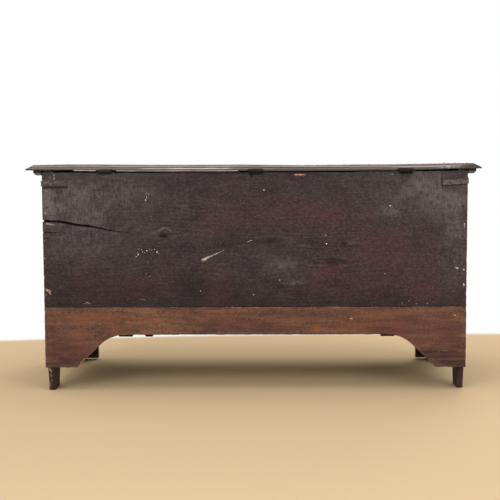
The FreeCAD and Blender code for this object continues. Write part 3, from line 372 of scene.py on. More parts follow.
def waxed(name, run, place, more=RUBBED_AND_SHADED, inside=None):
    """Waxed oak for one kind of board, with more coats over it."""
    ground, layers = WAXED_OAK
    colours = (ground, layers + more)
    return finish(name, colours, ("mottle", 0.32, 0.52), PLANED, run, place, (11, 140, -60), inside,
                  Specular_IOR_Level=0.42)


def bare(name, run, place, colours=DRY_OAK, inside=None):
    """Unfinished oak for one kind of board."""
    return finish(name, colours, ("mottle", 0.75, 0.95), SAWN, run, place, inside=inside,
                  Specular_IOR_Level=0.1)


def iron(name, colours, sheen):
    """Forged iron in one colour, with a sheen."""
    return finish(name, colours, ("scale", 0.34, 0.5), FORGED, Specular_IOR_Level=sheen)


# Stage

def studio():
    """Pale floor that fades to white round the chest, white surround, and large soft lamps on all sides."""
    scene = bpy.context.scene
    scene.view_settings.view_transform = "Standard"
    world = scene.world or bpy.data.worlds.new("studio")
    scene.world = world
    world.use_nodes = True
    material = bpy.data.materials.new("pale floor")
    material.use_nodes = True
    seen = {}
    for tree in (world.node_tree, material.node_tree):
        tree.nodes.clear()
        path = tree.nodes.new("ShaderNodeLightPath").outputs
        direct = add(tree, "Math", {0: path["Is Camera Ray"], 1: path["Is Glossy Ray"]}, operation="MAXIMUM")
        seen[tree] = add(tree, "Math", {0: direct, 1: path["Is Transmission Ray"]}, operation="MAXIMUM")
    white = (1.0, 1.0, 1.0, 1.0)
    tree = world.node_tree
    strength = add(tree, "MapRange", {0: seen[tree], 1: 0.0, 2: 1.0, 3: 0.58, 4: 1.0})
    add(tree, "OutputWorld", {0: add(tree, "Background", {"Color": white, "Strength": strength})})

    far = 9.0
    mesh = bpy.data.meshes.new("floor")
    mesh.from_pydata([(-far, -far, 0), (far, -far, 0), (far, far, 0), (-far, far, 0)], [], [(0, 1, 2, 3)])
    floor = bpy.data.objects.new("floor", mesh)
    scene.collection.objects.link(floor)
    tree = material.node_tree
    where = add(tree, "TexCoord", out="Object")
    behind, half_width, half_depth, turn = 2.0, 5.0, 2.73, math.radians(-4.0)
    turned = add(tree, "Mapping", {0: where, 1: (0.0, -behind, 0.0), 2: (0.0, 0.0, turn)})
    pool = add(tree, "Mapping", {0: turned, 3: (1 / half_width, 1 / half_depth, 1.0)})
    away = add(tree, "VectorMath", {0: pool}, out="Value", operation="LENGTH")
    fade = add(tree, "MapRange", {0: away, 1: 0.98, 2: 1.008}, interpolation_type="SMOOTHSTEP")
    cover = add(tree, "Math", {0: seen[tree], 1: fade}, operation="MULTIPLY")
    pale = add(tree, "BsdfDiffuse", {"Color": tone("#dcc199")})
    glow = add(tree, "Emission", {"Color": white, "Strength": 1.0})
    add(tree, "OutputMaterial", {0: add(tree, "MixShader", {0: cover, 1: pale, 2: glow})})
    floor.data.materials.append(material)

    lamps = (
        ("key", (1.7, 3.3, 2.1), (2.4, 1.6), 45.0),
        ("fill", (-2.3, 2.7, 1.4), (2.0, 2.0), 30.0),
        ("front", (-1.4, -3.2, 2.4), (2.4, 1.8), 54.0),
        ("top", (0.3, 0.2, 3.4), (3.0, 2.4), 31.0),
    )
    aim = Vector((0.0, 0.0, 0.35))
    for name, place, size, watts in lamps:
        lamp = bpy.data.lights.new(name, "AREA")
        lamp.shape, lamp.size, lamp.size_y, lamp.energy = "RECTANGLE", *size, watts
        light = bpy.data.objects.new(name, lamp)
        light.location = place
        light.rotation_euler = (aim - Vector(place)).to_track_quat("-Z", "Y").to_euler()
        light.visible_camera = False
        scene.collection.objects.link(light)


# Worn boards

def wander(u, v, cell_u, cell_v, seed):
    """Smooth noise between -1 and 1: random values on a lattice of cells, blended by a smooth step."""
    wide, tall = 97, 89
    table = np.random.default_rng(seed).uniform(-1.0, 1.0, (wide, tall))
    u, v = u / cell_u, v / cell_v
    i, j = np.floor(u).astype(int), np.floor(v).astype(int)
    u, v = u - i, v - j
    u, v = u * u * (3 - 2 * u), v * v * (3 - 2 * v)
    i, next_i, j, next_j = i % wide, (i + 1) % wide, j % tall, (j + 1) % tall
    near = table[i, j] * (1 - u) + table[next_i, j] * u
    far = table[i, next_j] * (1 - u) + table[next_i, next_j] * u
    return near * (1 - v) + far * v


def shells(name, loops, attributes=None):
    """Mesh of N closed shells, each of M closed loops of P points joined by quads, with a face over each
    end."""
    n, m, p = loops.shape[:3]
    index = np.arange(n * m * p).reshape(n, m, p)
    ahead = np.roll(index, -1, axis=2)
    quads = np.stack([index[:, :-1], ahead[:, :-1], ahead[:, 1:], index[:, 1:]], axis=-1).reshape(-1, 4)
    caps = np.concatenate([index[:, 0, ::-1], index[:, -1]])
    mesh = bpy.data.meshes.new(name)
    mesh.from_pydata(loops.reshape(-1, 3).tolist(), [], quads.tolist() + caps.tolist())
    for key, values in (attributes or {}).items():
        values = np.ascontiguousarray(values, np.float32).ravel()
        mesh.attributes.new(key, "FLOAT", "POINT").data.foreach_set("value", values)
    work = bmesh.new()
    work.from_mesh(mesh)
    bmesh.ops.recalc_face_normals(work, faces=work.faces)
    work.to_mesh(mesh)
    work.free()
    mesh.polygons.foreach_set("use_smooth", np.ones(len(mesh.polygons), bool))
    mesh.set_sharp_from_angle(angle=math.radians(40))
    piece = bpy.data.objects.new(name, mesh)
    bpy.context.scene.collection.objects.link(piece)
    return piece


def ends_first(low, high, step, close=(0.0, 0.3, 0.9, 2.0, 4.0)):
    """Places from low to high about one step apart, crowded at both ends so that the arrises are round."""
    close = np.array(close) * MM
    low, high = np.asarray(low, float), np.asarray(high, float)
    count = max(2, int(np.ceil(np.max(high - low - 2 * close[-1]) / step)))
    middle = np.linspace(low + close[-1], high - close[-1], count + 1, axis=-1)
    first = low[..., None] + close[:-1]
    last = high[..., None] - close[-2::-1]
    return np.concatenate([first, middle, last], axis=-1)


def plank(name, along, across, back, face, axes, radius, seed, relief=0.0, dip=0.0, ragged=0.0, rim=0,
          rim_relief=None, back_step=1.0, marks=None, warp=None):
    """A worn board: closed loops round its section, carried along its length.

    along holds the places of the sections, across the places of the face's rows in each section. The face
    stands at face, less an arris, plus the relief and less the dip, both in millimetres. The arris is a
    quarter circle whose radius wanders, and the back has the same arris. rim rows divide each narrow edge,
    and rim_relief moves the far ones out by millimetres. back_step sets the rows of the back. Next to an
    edge the rows move inwards by a noise cut off at zero, so the rims look nibbled. marks turns places,
    rows, distance to an edge, a face flag and the points into named values for the finish, and warp then
    bends the points."""
    out = np.sign(face - back)
    low, high = across[:, :1], across[:, -1:]
    inner = ends_first(low[:, 0], high[:, 0], back_step, (0.0, 0.3, 0.9, 2.0))[:, ::-1]

    def rounded(w):
        s = np.broadcast_to(along[:, None], w.shape)
        edge = np.minimum.reduce([w - low, high - w, s - along[0], along[-1] - s])
        r = radius * (1.0 + 0.7 * wander(s + w * 3, w + s * 3, 0.03, 0.03, seed))
        fall = r - np.sqrt(np.maximum(r**2 - np.maximum(r - edge, 0.0) ** 2, 0.0))
        return edge, fall

    edge, fall = rounded(across)
    face_height = face - out * (fall - MM * (relief * unit(edge / (3 * MM)) - dip))
    inner_edge, inner_fall = rounded(inner)
    inner_height = back + out * inner_fall

    def rim_rows(w, start, end):
        share = np.linspace(0.0, 1.0, rim + 2)[1:-1]
        height = start * (1 - share) + end * share
        return np.broadcast_to(w, height.shape), height

    upper_w, upper_height = rim_rows(high, face_height[:, -1:], inner_height[:, :1])
    lower_w, lower_height = rim_rows(low, inner_height[:, -1:], face_height[:, :1])
    if rim and rim_relief:
        upper_w = upper_w + MM * rim_relief(along[:, None], upper_height)
    rows = np.concatenate([across, upper_w, inner, lower_w], axis=1)
    depth = np.concatenate([face_height, upper_height, inner_height, lower_height], axis=1)
    edges = np.concatenate([edge, 0 * upper_w, inner_edge, 0 * lower_w], axis=1)
    places = np.broadcast_to(along[:, None], rows.shape)
    if ragged:
        nib = ragged * np.maximum(wander(rows + depth, places - rows, 0.011, 0.011, seed + 1) - 0.15, 0.0)
        pull = np.exp(-np.minimum(places - along[0], along[-1] - places) / (3 * MM))
        places = places + nib * pull * np.where(places < (along[0] + along[-1]) / 2, 1, -1)
        pull = np.exp(-np.maximum(np.minimum(rows - low, high - rows), 0.0) / (2 * MM))
        rows = rows + 0.6 * nib * pull * np.where(rows < (low + high) / 2, 1, -1)
    order = ["xyz".index(a) for a in axes]
    loops = np.empty((*rows.shape, 3))
    loops[..., order[0]], loops[..., order[1]], loops[..., order[2]] = places, rows, depth
    outer = np.zeros(rows.shape)
    outer[:, : across.shape[1]] = 1.0
    values = marks(places, rows, edges, outer, loops) if marks else None
    if warp:
        loops = warp(loops)
    return shells(name, loops[None], values)


def strokes(x, z, rows):
    """How far each point lies inside a set of tapering strokes, 0 to 1. The strongest stroke counts."""
    cover = np.zeros(x.shape)
    for *sizes, strength in rows:
        x0, z0, x1, z1, wide, narrow = MM * np.array(sizes)
        dx, dz = x1 - x0, z1 - z0
        share = unit(((x - x0) * dx + (z - z0) * dz) / max(dx * dx + dz * dz, 1e-12))
        gap = np.hypot(x - x0 - share * dx, z - z0 - share * dz)
        half = wide + (narrow - wide) * share
        cover = np.maximum(cover, strength * unit(1.6 - gap / half))
    return cover


def patches(x, z, rows):
    """Sum of soft oval patches, each the product of two bell curves."""
    return sum(k * bell(x / MM, a, c) * bell(z / MM, b, d) for a, b, c, d, k in rows)


def off_hinge(x):
    """Distance along the chest to the middle of the nearest hinge."""
    return np.min(np.abs(x[..., None] - HINGES), axis=-1)


# Marks on the back, in millimetres from the middle and from the floor, seen from behind with x to the left.
# A knot is a middle and a radius. A stroke is both ends, the half width at both ends and a strength. A patch
# is a middle, the spread along x and along z and a strength.

KNOTS = MM * np.array((
    (268, 470, 10), (-224, 389, 11), (-173, 435, 7), (-265, 441, 8), (183, 552, 7), (-45, 449, 6),
    (-81, 316, 7), (-182, 380, 6),
))
KNOT_STRETCH = 1.5
GOUGES = (
    (152.5, 393, 138, 400.5, 4.6, 3.2, 0.85), (138, 400.5, 90.5, 421.5, 3.2, 1.4, 0.72),
    (146, 376, 142, 373.5, 2.2, 1.5, 0.5), (19, 447, 4, 452.5, 2.4, 1.4, 0.75),
    (90.5, 421.5, 24, 444.5, 1.6, 1.2, 0.45),
)
CHIPS = (
    (-121, 645.5, -150, 644.5, 2.6, 2.2, 0.95), (621, 304, 611, 300, 4.6, 3.6, 0.72),
    (614, 296, 610, 291, 3.6, 2.6, 0.7), (626, 290, 622, 288, 3, 2, 0.6),
    (512, 264, 489, 262.5, 2.4, 2, 0.6), (338, 276.5, 325, 272.5, 2.2, 1.6, 0.62),
    (-509, 280, -511, 273, 2.4, 1.6, 0.4), (-535, 265, -529, 264, 2, 1.4, 0.5),
    (385, 286, 378, 284, 2, 1.6, 0.4),
)
RUBS = (
    (-621.5, 500, -621.5, 485, 2.6, 2, 0.5), (-603, 366, -599, 367, 2.5, 2, 0.8),
    (-621.5, 362, -621.5, 359, 2.5, 2, 0.8), (-621.5, 317.5, -621.5, 314.5, 3, 2.2, 0.9),
    (-593, 387, -595, 383, 2, 1.6, 0.5), (618, 503, 595, 499, 3, 1.5, 0.6),
    (610, 605, 602, 596, 4, 2, 0.35), (600, 425, 599, 418, 2, 1.6, 0.4),
    (605, 647, 604, 636, 1.8, 1.4, 0.5), (593, 648, 592.5, 634, 1.8, 1.4, 0.7),
    (319, 593, 318, 565, 1.4, 1.2, 0.55), (620, 601, 613, 599, 2.2, 1.6, 0.5),
    (609, 581, 605, 579, 2, 1.6, 0.45), (623, 536, 620, 532, 2.4, 1.8, 0.5),
    (603, 525, 599, 523.5, 1.8, 1.4, 0.4), (625.5, 453, 624.5, 450, 2, 1.6, 0.6),
    (626.5, 401, 626, 398, 2, 1.6, 0.55), (-430, 283, -430, 273, 1.5, 1.2, 0.48),
    (-438, 264, -440, 258, 1.6, 1.2, 0.52), (-456, 269, -464, 268, 1.5, 1.2, 0.42),
    (-480, 260, -490, 259, 1.7, 1.4, 0.5), (-500, 286, -508, 285.5, 1.5, 1.2, 0.4),
    (-511, 264, -516, 260, 1.8, 1.4, 0.56), (-125, 645.2, -148, 644.6, 2, 1.8, 0.6),
    (624, 304, 618, 300.5, 2.4, 2, 0.6), (614, 295.5, 611, 292, 2.2, 1.8, 0.55),
    (504, 266, 496, 265.5, 2, 1.6, 0.6), (418, 576, 405, 574, 1.8, 1.4, 0.4),
    (416, 587, 406, 585, 1.8, 1.4, 0.35), (464, 585, 456, 576, 2.2, 1.6, 0.4),
    (-403, 645, -409, 644.5, 2.4, 1.8, 0.6),
)
# Short slanting cuts of a scraper that chattered along the grain: x and height
CHATTER = (
    (118, 438), (108, 439), (94, 440), (84, 437), (63, 441), (50, 443), (-4, 447), (-14, 449), (-24, 449),
    (-34, 450), (-45, 452), (-60, 453), (-80, 453), (-160, 442), (-172, 444), (-245, 440), (-258, 437),
    (-270, 438),
)
# Along the corner straps: an upright line, a line above and the lines under the straps, which are painted
# shadow, partly dirt at the iron's edge. Then cuts, and the scraper's chatter
SCORES_AND_SHADOW_LINES = (
    (-554, 640, -555.5, 603, 1.7, 1.3, 1), (-556, 610, -630, 616, 1.9, 1.9, 0.9),
    (556, 610, 630, 609.5, 2.2, 2.2, 1), (-556, 628, -630, 634, 1.2, 1.2, 0.5),
    (260, 468, 220, 472.5, 1.8, 1, 0.8), (276, 464, 264, 463, 5, 5.5, 0.75),
    (285, 490, 260, 496.5, 2.6, 2, 0.4),
    *((x + 3, z - 5, x - 3, z + 4, 2.8, 1.8, 0.55) for x, z in CHATTER),
)
ARCH = (
    (284, 480, 276, 487, 2.4, 3, 0.9), (276, 487, 266, 489, 3.2, 3.2, 1),
    (266, 489, 254, 485, 3.2, 2.6, 1), (254, 485, 247, 479, 2.6, 1.8, 0.8),
)
# Specks of paint: x, height and size
SPECKS = np.array((
    (-29, 600, 1), (322, 572, 1.1), (346, 409, 1), (320, 421, 1), (290, 417, 1.1), (333, 418, 0.7),
    (352, 404, 0.7), (-212, 465, 0.7), (-214, 440, 1.1), (-402, 552, 1.2), (161, 300, 0.8), (3, 288, 0.8),
    (-75, 332, 0.8), (312, 345, 0.7), (-388, 350, 0.6), (345, 426, 0.5), (336, 424, 0.5), (312, 426, 0.5),
    (305, 423, 0.5), (297, 425, 0.6), (326, 415, 0.5), (347, 415, 0.6), (284, 412, 0.5), (318, 385, 0.4),
    (322, 352, 0.4),
))
DUSTY = (
    (520, 570, 200, 140, 0.31), (340, 590, 180, 80, 0.18), (-470, 610, 180, 80, 0.34),
    (610, 565, 18, 50, 0.46), (-570, 550, 90, 90, 0.25), (520, 420, 130, 60, 0.16),
    (-90, 375, 60, 30, 0.4), (-400, 530, 35, 20, 0.5), (20, 400, 100, 40, 0.12),
    (-600, 420, 50, 120, 0.3), (-120, 325, 50, 12, 0.4),
)
SWEPT = (
    (50, 620, 220, 40, 0.2), (0, 280, 700, 40, 0.3),
)
REDDENED = (
    (-150, 530, 100, 35, 1), (119, 312, 40, 60, 0.9), (310, 315, 90, 45, 0.9), (-380, 360, 150, 70, 0.9),
    (60, 520, 100, 50, 0.8), (-510, 290, 30, 30, 0.9), (-430, 455, 120, 50, 0.5), (500, 340, 70, 40, 0.5),
    (420, 285, 50, 20, 0.4), (-205, 382, 30, 14, 0.9), (-200, 330, 60, 50, 0.6), (-300, 500, 80, 60, 0.4),
    (-560, 645, 50, 8, 0.9),
)
# Darker patches, most of them low on the board
DARK_PATCHES = (
    (100, 437, 10, 6, 0.5), (70, 439, 6, 6, 0.5), (185, 300, 50, 50, 0.3), (460, 300, 250, 70, 0.24),
    (50, 290, 250, 60, 0.2), (-350, 270, 250, 30, 0.15), (-60, 437, 30, 6, 0.4), (-75, 325, 12, 8, 0.4),
)
CHECKS = (
    (-505, 112.5, -600, 115.5, 2.2, 2, 1), (-500, 97.5, -622, 98.5, 2.4, 2, 1),
    (-560, 83, -626, 82, 3.6, 3, 1), (-575, 77, -628, 73.5, 3.4, 3.4, 0.9),
    (-520, 135, -560, 136, 1.2, 1, 0.6), (505, 92, 580, 90, 1.4, 1.2, 0.5),
    (180, 235, 168, 234, 3, 2.4, 0.5), (-276, 219, -284, 218.5, 2, 2, 0.7),
)
PLINTH_RUBS = (
    (524, 83, 520, 87, 2, 1.6, 0.6), (516, 91.5, 511, 94.5, 1.8, 1.4, 0.6),
    (-286, 216.5, -290, 215.5, 2.2, 1.6, 0.9), (-594, 226, -597, 225, 2.2, 1.6, 0.8),
    (-545, 117, -580, 119, 1.4, 1, 0.5), (305, 229, 290, 228, 1.6, 1.4, 0.35),
)
PLINTH_STAINS = (
    (-600, 84, 60, 14, 1), (580, 100, 60, 50, 0.98), (610, 180, 20, 60, 0.45), (-590, 110, 60, 30, 0.52),
    (-530, 115, 60, 20, 0.4), (-600, 150, 30, 30, 0.25), (-450, 220, 50, 20, 0.35),
    (300, 185, 200, 12, 0.3), (172, 232, 20, 8, 0.4), (50, 190, 140, 20, 0.4), (-550, 190, 50, 20, 0.3),
    (-100, 235, 120, 10, 0.3), (550, 200, 60, 15, 0.3), (-450, 247, 220, 10, 0.28),
)
PLINTH_RED = (
    (-450, 180, 220, 60, 0.8), (550, 120, 90, 50, 0.8), (50, 200, 160, 30, 0.6), (-580, 120, 60, 50, 0.5),
    (-150, 220, 100, 15, 0.5),
)
PLINTH_RUST = (
    (-184, 187, 12, 10, 0.9), (-300, 195, 60, 12, 0.4), (-600, 225, 20, 10, 0.4), (420, 185, 50, 12, 0.4),
    (120, 225, 90, 12, 0.3), (500, 222, 120, 16, 0.55), (300, 215, 80, 20, 0.25),
    (-100, 195, 70, 14, 0.25), (-360, 225, 80, 14, 0.4), (-420, 200, 50, 10, 0.4),
    (530, 165, 40, 20, 0.35),
)


def stained_hollows(x, z):
    """Height of the back board's face in millimetres: slow hand-plane hollows, ridges of grain, knots that
    stand up in a ring of sunken grain, gouges, chips, rubs and scores."""
    relief = 0.45 * wander(x, z, 0.16, 0.055, 11) + 0.22 * wander(x, z, 0.07, 0.006, 12)
    relief = relief + 0.16 * wander(x, z, 0.012, 0.012, 13) - 0.4
    for a, b, r in KNOTS:
        away = np.hypot((x - a) / KNOT_STRETCH, z - b)
        relief = relief + 0.5 * bell(away, 0.0, r) - 0.35 * bell(away, 1.5 * r, 0.5 * r)
    for depth, cuts in ((1.6, GOUGES), (1.8, CHIPS), (1.0, RUBS), (0.7, SCORES_AND_SHADOW_LINES)):
        relief = relief - depth * strokes(x, z, cuts)
    return relief


def grain_lines(x, z):
    """Grain on the back board between 0 and 1: two sines of the place across the grain, which slow noise
    sways and every knot pushes aside. The lines are faint, and bolder round the knots."""
    spacing = 13.5 * MM
    flow = z + 0.016 * wander(x, z, 0.28, 0.09, 14) + 0.006 * wander(x, z, 0.08, 0.03, 15)
    near = np.zeros(x.shape)
    for a, b, r in KNOTS:
        pull = bell(np.hypot((x - a) / 2.2, z - b), 0.0, 3.2 * r)
        flow = flow - 1.5 * r * np.tanh((z - b) / r) * pull
        near = np.maximum(near, pull)
    phase = math.tau * flow / spacing
    wave = 0.6 * np.sin(phase) + 0.4 * np.sin(1.43 * phase + 2.0 * wander(x, z, 0.1, 0.03, 16))
    bold = 0.32 + 0.2 * wander(x, z, 0.12, 0.05, 17) + 0.48 * near
    return 0.5 + 0.5 * bold * wave


# Steps between the points of the two boards of the back
STEP_ALONG, STEP_ACROSS = 2.6 * MM, 2.9 * MM


def back_board():
    """The wide back board. Rows follow the two splits at its right end: the long one wanders down the grain
    and closes, the short one runs in straight. Each split is a notch between two lips, six times as deep as
    half its width, up to four fifths of the board. The top edge is worn away between the hinges."""
    along = ends_first(-SIDE, SIDE, STEP_ALONG)
    # Along x in metres: the long split's half width in millimetres, its height in metres, and the wear of
    # the top edge in millimetres
    split_half = np.array([
        (0.0, 0.0), (0.365, 0.0), (0.385, 0.8), (0.42, 1.4), (0.442, 2.0), (0.4745, 2.7), (0.5331, 4.0),
        (0.579, 3.9), (0.63, 3.4),
    ])
    split_height = np.array([
        (0.0, 0.475), (0.375, 0.4755), (0.415, 0.4795), (0.442, 0.4840), (0.4745, 0.4920), (0.5331, 0.5000),
        (0.579, 0.5085), (0.63, 0.5112),
    ])
    top_wear = np.array([
        (-0.63, 0.8), (-0.5, 1.4), (-0.34, 1.4), (-0.28, 3.0), (-0.2, 3.4), (-0.05, 3.4), (0.05, 2.6),
        (0.4, 2.4), (0.54, 0.8), (0.6, 0.5), (0.63, 0.8),
    ])
    half = np.interp(along, *split_half.T) * MM * (1 + 0.25 * wander(along, along, 0.012, 0.02, 5))
    shift = 0.8 * MM * wander(along, along, 0.02, 0.03, 6) * (along > 0.36)
    middle = np.interp(along, *split_height.T) + shift
    gap = np.maximum(half, 0.25 * MM)
    second = np.minimum(0.4772 - 0.0007 * wander(along, along, 0.01, 0.02, 7), middle - 0.012)
    second_half = np.interp(along, [0.0, 0.54, 0.60, 0.63], [0.0, 0.0, 1.1, 1.6]) * MM
    second_gap = np.maximum(second_half, 0.2 * MM)
    wear = np.interp(along, *top_wear.T) + 0.3 * wander(along, along, 0.03, 0.03, 8)
    low = np.full(along.shape, SEAM)
    high = BACK_TOP - np.where(off_hinge(along) < HINGE_REACH, 0.0, MM * wear)
    lips = (0.0, 0.4, 1.4)
    blocks = [
        ends_first(low, second - second_gap, STEP_ACROSS),
        np.stack([second - 0.6 * second_gap, second + 0.6 * second_gap], axis=-1),
        ends_first(second + second_gap, middle - gap, STEP_ACROSS, lips),
        np.stack([middle - 0.75 * gap, middle + 0.75 * gap], axis=-1),
        ends_first(middle + gap, high, STEP_ACROSS),
    ]
    across = np.concatenate(blocks, axis=1)
    x, z = np.broadcast_to(along[:, None], across.shape), across
    notch, second_notch = np.minimum(6 * half / MM, 16.0), np.minimum(6 * second_half / MM, 9.0)
    depths = (0 * half, second_notch, 0 * half, notch, 0 * half)
    dip = np.concatenate([np.broadcast_to(d[:, None], b.shape) for d, b in zip(depths, blocks)], axis=1)
    lip = np.exp(-np.abs(z - middle[:, None]) / (3 * MM)) * (half[:, None] > 0.1 * MM) * (dip == 0)
    relief = stained_hollows(x, z) - 0.5 * lip + 0.3 * grain_lines(x, z)

    def marks(x, z, edge, outer, loops):
        nibbled = unit(1.0 - edge / (2.5 * MM)) * (z < BACK_TOP - 10 * MM)
        nibbled = nibbled * unit(2.2 * wander(x + z, z - x, 0.016, 0.012, 21) - 0.5)
        slow = 0.5 + 0.5 * wander(x, z, 0.06, 0.04, 22)
        quick = 0.5 + 0.5 * wander(x, z, 0.02, 0.014, 23)
        dust = 0.25 + patches(x, z, DUSTY) - patches(x, z, SWEPT)
        dust = np.maximum(dust, strokes(x, z, ARCH))
        red = 0.15 + patches(x, z, REDDENED)
        knot = sum(bell(np.hypot((x - a) / KNOT_STRETCH, z - b), 0.0, r) for a, b, r in KNOTS)
        # Darker at knots, towards the bottom, along the top edge and in patches
        soot = 0.9 * knot + 0.4 * np.exp(-(z - SEAM) / 0.018) + 0.3 * np.exp(-np.abs(z - BACK_TOP) / 0.01)
        soot = soot + patches(x, z, DARK_PATCHES)
        # Painted shade inside the splits, and dark lines along the scores, painted shadow where they run
        # under the corner straps
        deep = np.zeros(x.shape)
        deep[:, : dip.shape[1]] = unit(dip / 3.0)
        deep = np.maximum(deep, strokes(x, z, SCORES_AND_SHADOW_LINES))
        return {
            "dust": np.clip(dust * (0.7 + 0.28 * slow + 0.35 * quick), 0, 1.2) * outer,
            "red": np.clip(red * (0.4 + 0.8 * slow), 0, 1.2) * outer,
            "soot": unit(soot * (0.6 + 0.6 * quick) + deep) * outer,
            "bare": unit(nibbled * 0.8 + strokes(x, z, GOUGES) + 1.25 * strokes(x, z, RUBS)) * outer,
            "rust": strokes(x, z, CHIPS) * outer,
            "grain": grain_lines(x, z),
            "raw": unit((BACK_INNER + 5.4 * MM - loops[..., 1]) / (2 * MM)) * (1 - outer),
        }

    return plank("old_back_board", along, across, BACK_INNER, BACK_FACE, "xzy", 1.6 * MM, 31, relief, dip,
                 2.6 * MM, marks=marks)


# Length of the flat under each bracket of the back plinth
FLAT_RIGHT, FLAT_LEFT = 95.5 * MM, 90 * MM


def bracket_line(x):
    """Height of the back plinth's lower edge at x: flat under a bracket, a slope, an arc up to the rail."""
    inward = SIDE - np.abs(x)
    flat = np.where(x > 0, FLAT_RIGHT, FLAT_LEFT)
    slope, round_off, rail = math.radians(44.4), 105 * MM, 168 * MM
    line_rise = rail - round_off * (1 - math.cos(slope)) - PLINTH_FOOT
    line_end = flat + line_rise / math.tan(slope)
    centre = line_end + round_off * math.sin(slope)
    arc = rail - round_off + np.sqrt(np.maximum(round_off**2 - np.minimum(inward - centre, 0.0) ** 2, 0.0))
    line = PLINTH_FOOT + np.maximum(inward - flat, 0.0) * math.tan(slope)
    return np.where(inward < line_end, line, np.where(inward < centre, arc, rail))


def back_plinth():
    """The lower board of the back: rows between its shaped lower edge and its straight top."""
    flats = [FLAT_LEFT - SIDE, SIDE - FLAT_RIGHT]
    along = np.unique(np.concatenate([ends_first(-SIDE, SIDE, STEP_ALONG), flats]))
    low = bracket_line(along) + 0.5 * MM * wander(along, along, 0.02, 0.03, 41)
    across = ends_first(low, np.full(along.shape, SEAM), STEP_ACROSS)
    x, z = np.broadcast_to(along[:, None], across.shape), across
    relief = 0.4 * wander(x, z, 0.18, 0.05, 42) + 0.2 * wander(x, z, 0.08, 0.006, 43) - 0.35
    relief = relief - 1.2 * strokes(x, z, CHECKS)

    def marks(x, z, edge, outer, loops):
        rim = unit(1.0 - edge / (2.2 * MM)) * unit(wander(x, z, 0.03, 0.02, 44) * 1.6 - 0.1)
        # Painted highlight along the top arris, where it catches the light
        top = unit(1.0 - (SEAM - z) / (2.6 * MM)) * unit(0.5 + 0.7 * wander(x, x, 0.07, 0.05, 47))
        stains = patches(x, z, PLINTH_STAINS) * (0.7 + 0.5 * wander(x, z, 0.03, 0.012, 45))
        dark = stains + 0.95 * strokes(x, z, CHECKS) + 0.35 * np.exp(-(z - PLINTH_FOOT) / 0.012)
        return {
            "bare": unit(0.45 * rim + 0.3 * top + strokes(x, z, PLINTH_RUBS)) * outer,
            "soot": unit(dark) * outer,
            "red": patches(x, z, PLINTH_RED) * outer,
            "rust": patches(x, z, PLINTH_RUST) * outer,
            "raw": unit((BACK_INNER + 6.4 * MM - loops[..., 1]) / (2 * MM)) * (1 - outer),
        }

    return plank("old_back_plinth", along, across, BACK_INNER, PLINTH_FACE, "xzy", 1.3 * MM, 46, relief,
                 ragged=1.6 * MM, marks=marks)


# Tips of the lid, and the width of the slope at its ends and its front
LID_TIPS = (-670 * MM, 678 * MM)
SLOPE = 25 * MM
# Along x in metres: how far the lid's rear edge has sagged, and where its pale and dark bands lie, in
# millimetres.
# The bands are partly wear, partly painted highlight on the reeds and painted shade in the grooves
SAG = np.array([
    (-0.67, 0.3), (-0.61, 0.9), (-0.52, 3.2), (-0.43, 5.4), (-0.34, 5.3), (-0.25, 6.6), (-0.16, 8.2),
    (0.01, 5.6), (0.05, 4.2), (0.10, 4.6), (0.19, 4.2), (0.28, 3.9), (0.37, 3.4), (0.46, 1.6), (0.55, 0.0),
    (0.678, 0.0),
])
BANDS = np.array([
    (-0.65, 1.5), (-0.57, 2.4), (-0.505, 3.0), (-0.43, 2.2), (-0.375, 1.7), (-0.295, 0.9), (-0.22, 0.2),
    (-0.145, -0.5), (-0.07, -0.6), (0.1, -0.1), (0.157, 0.0), (0.376, -0.3), (0.45, 0.4), (0.52, 0.9),
])
# Torn strips of the lower arris: middle and half length in metres, and how far they hang, in millimetres.
# Their pale colour is painted light: the white behind, seen through the gap under the lid
STRIPS = ((0.5015, 0.0355, 1.3), (0.2275, 0.1825, 0.3))
# The underside comes to rest on the back board, so it can sag no further, in millimetres
MOST_SAG = (LID_UNDER - BACK_TOP) / MM
# Pale bands and dark grooves of the rear edge, partly wear, partly painted highlight and painted shade:
# height over the underside in millimetres
UPPER_BAND, CREST, UPPER_GROOVE, LOWER_GROOVE = 12.0, 6.8, 9.4, 4.2


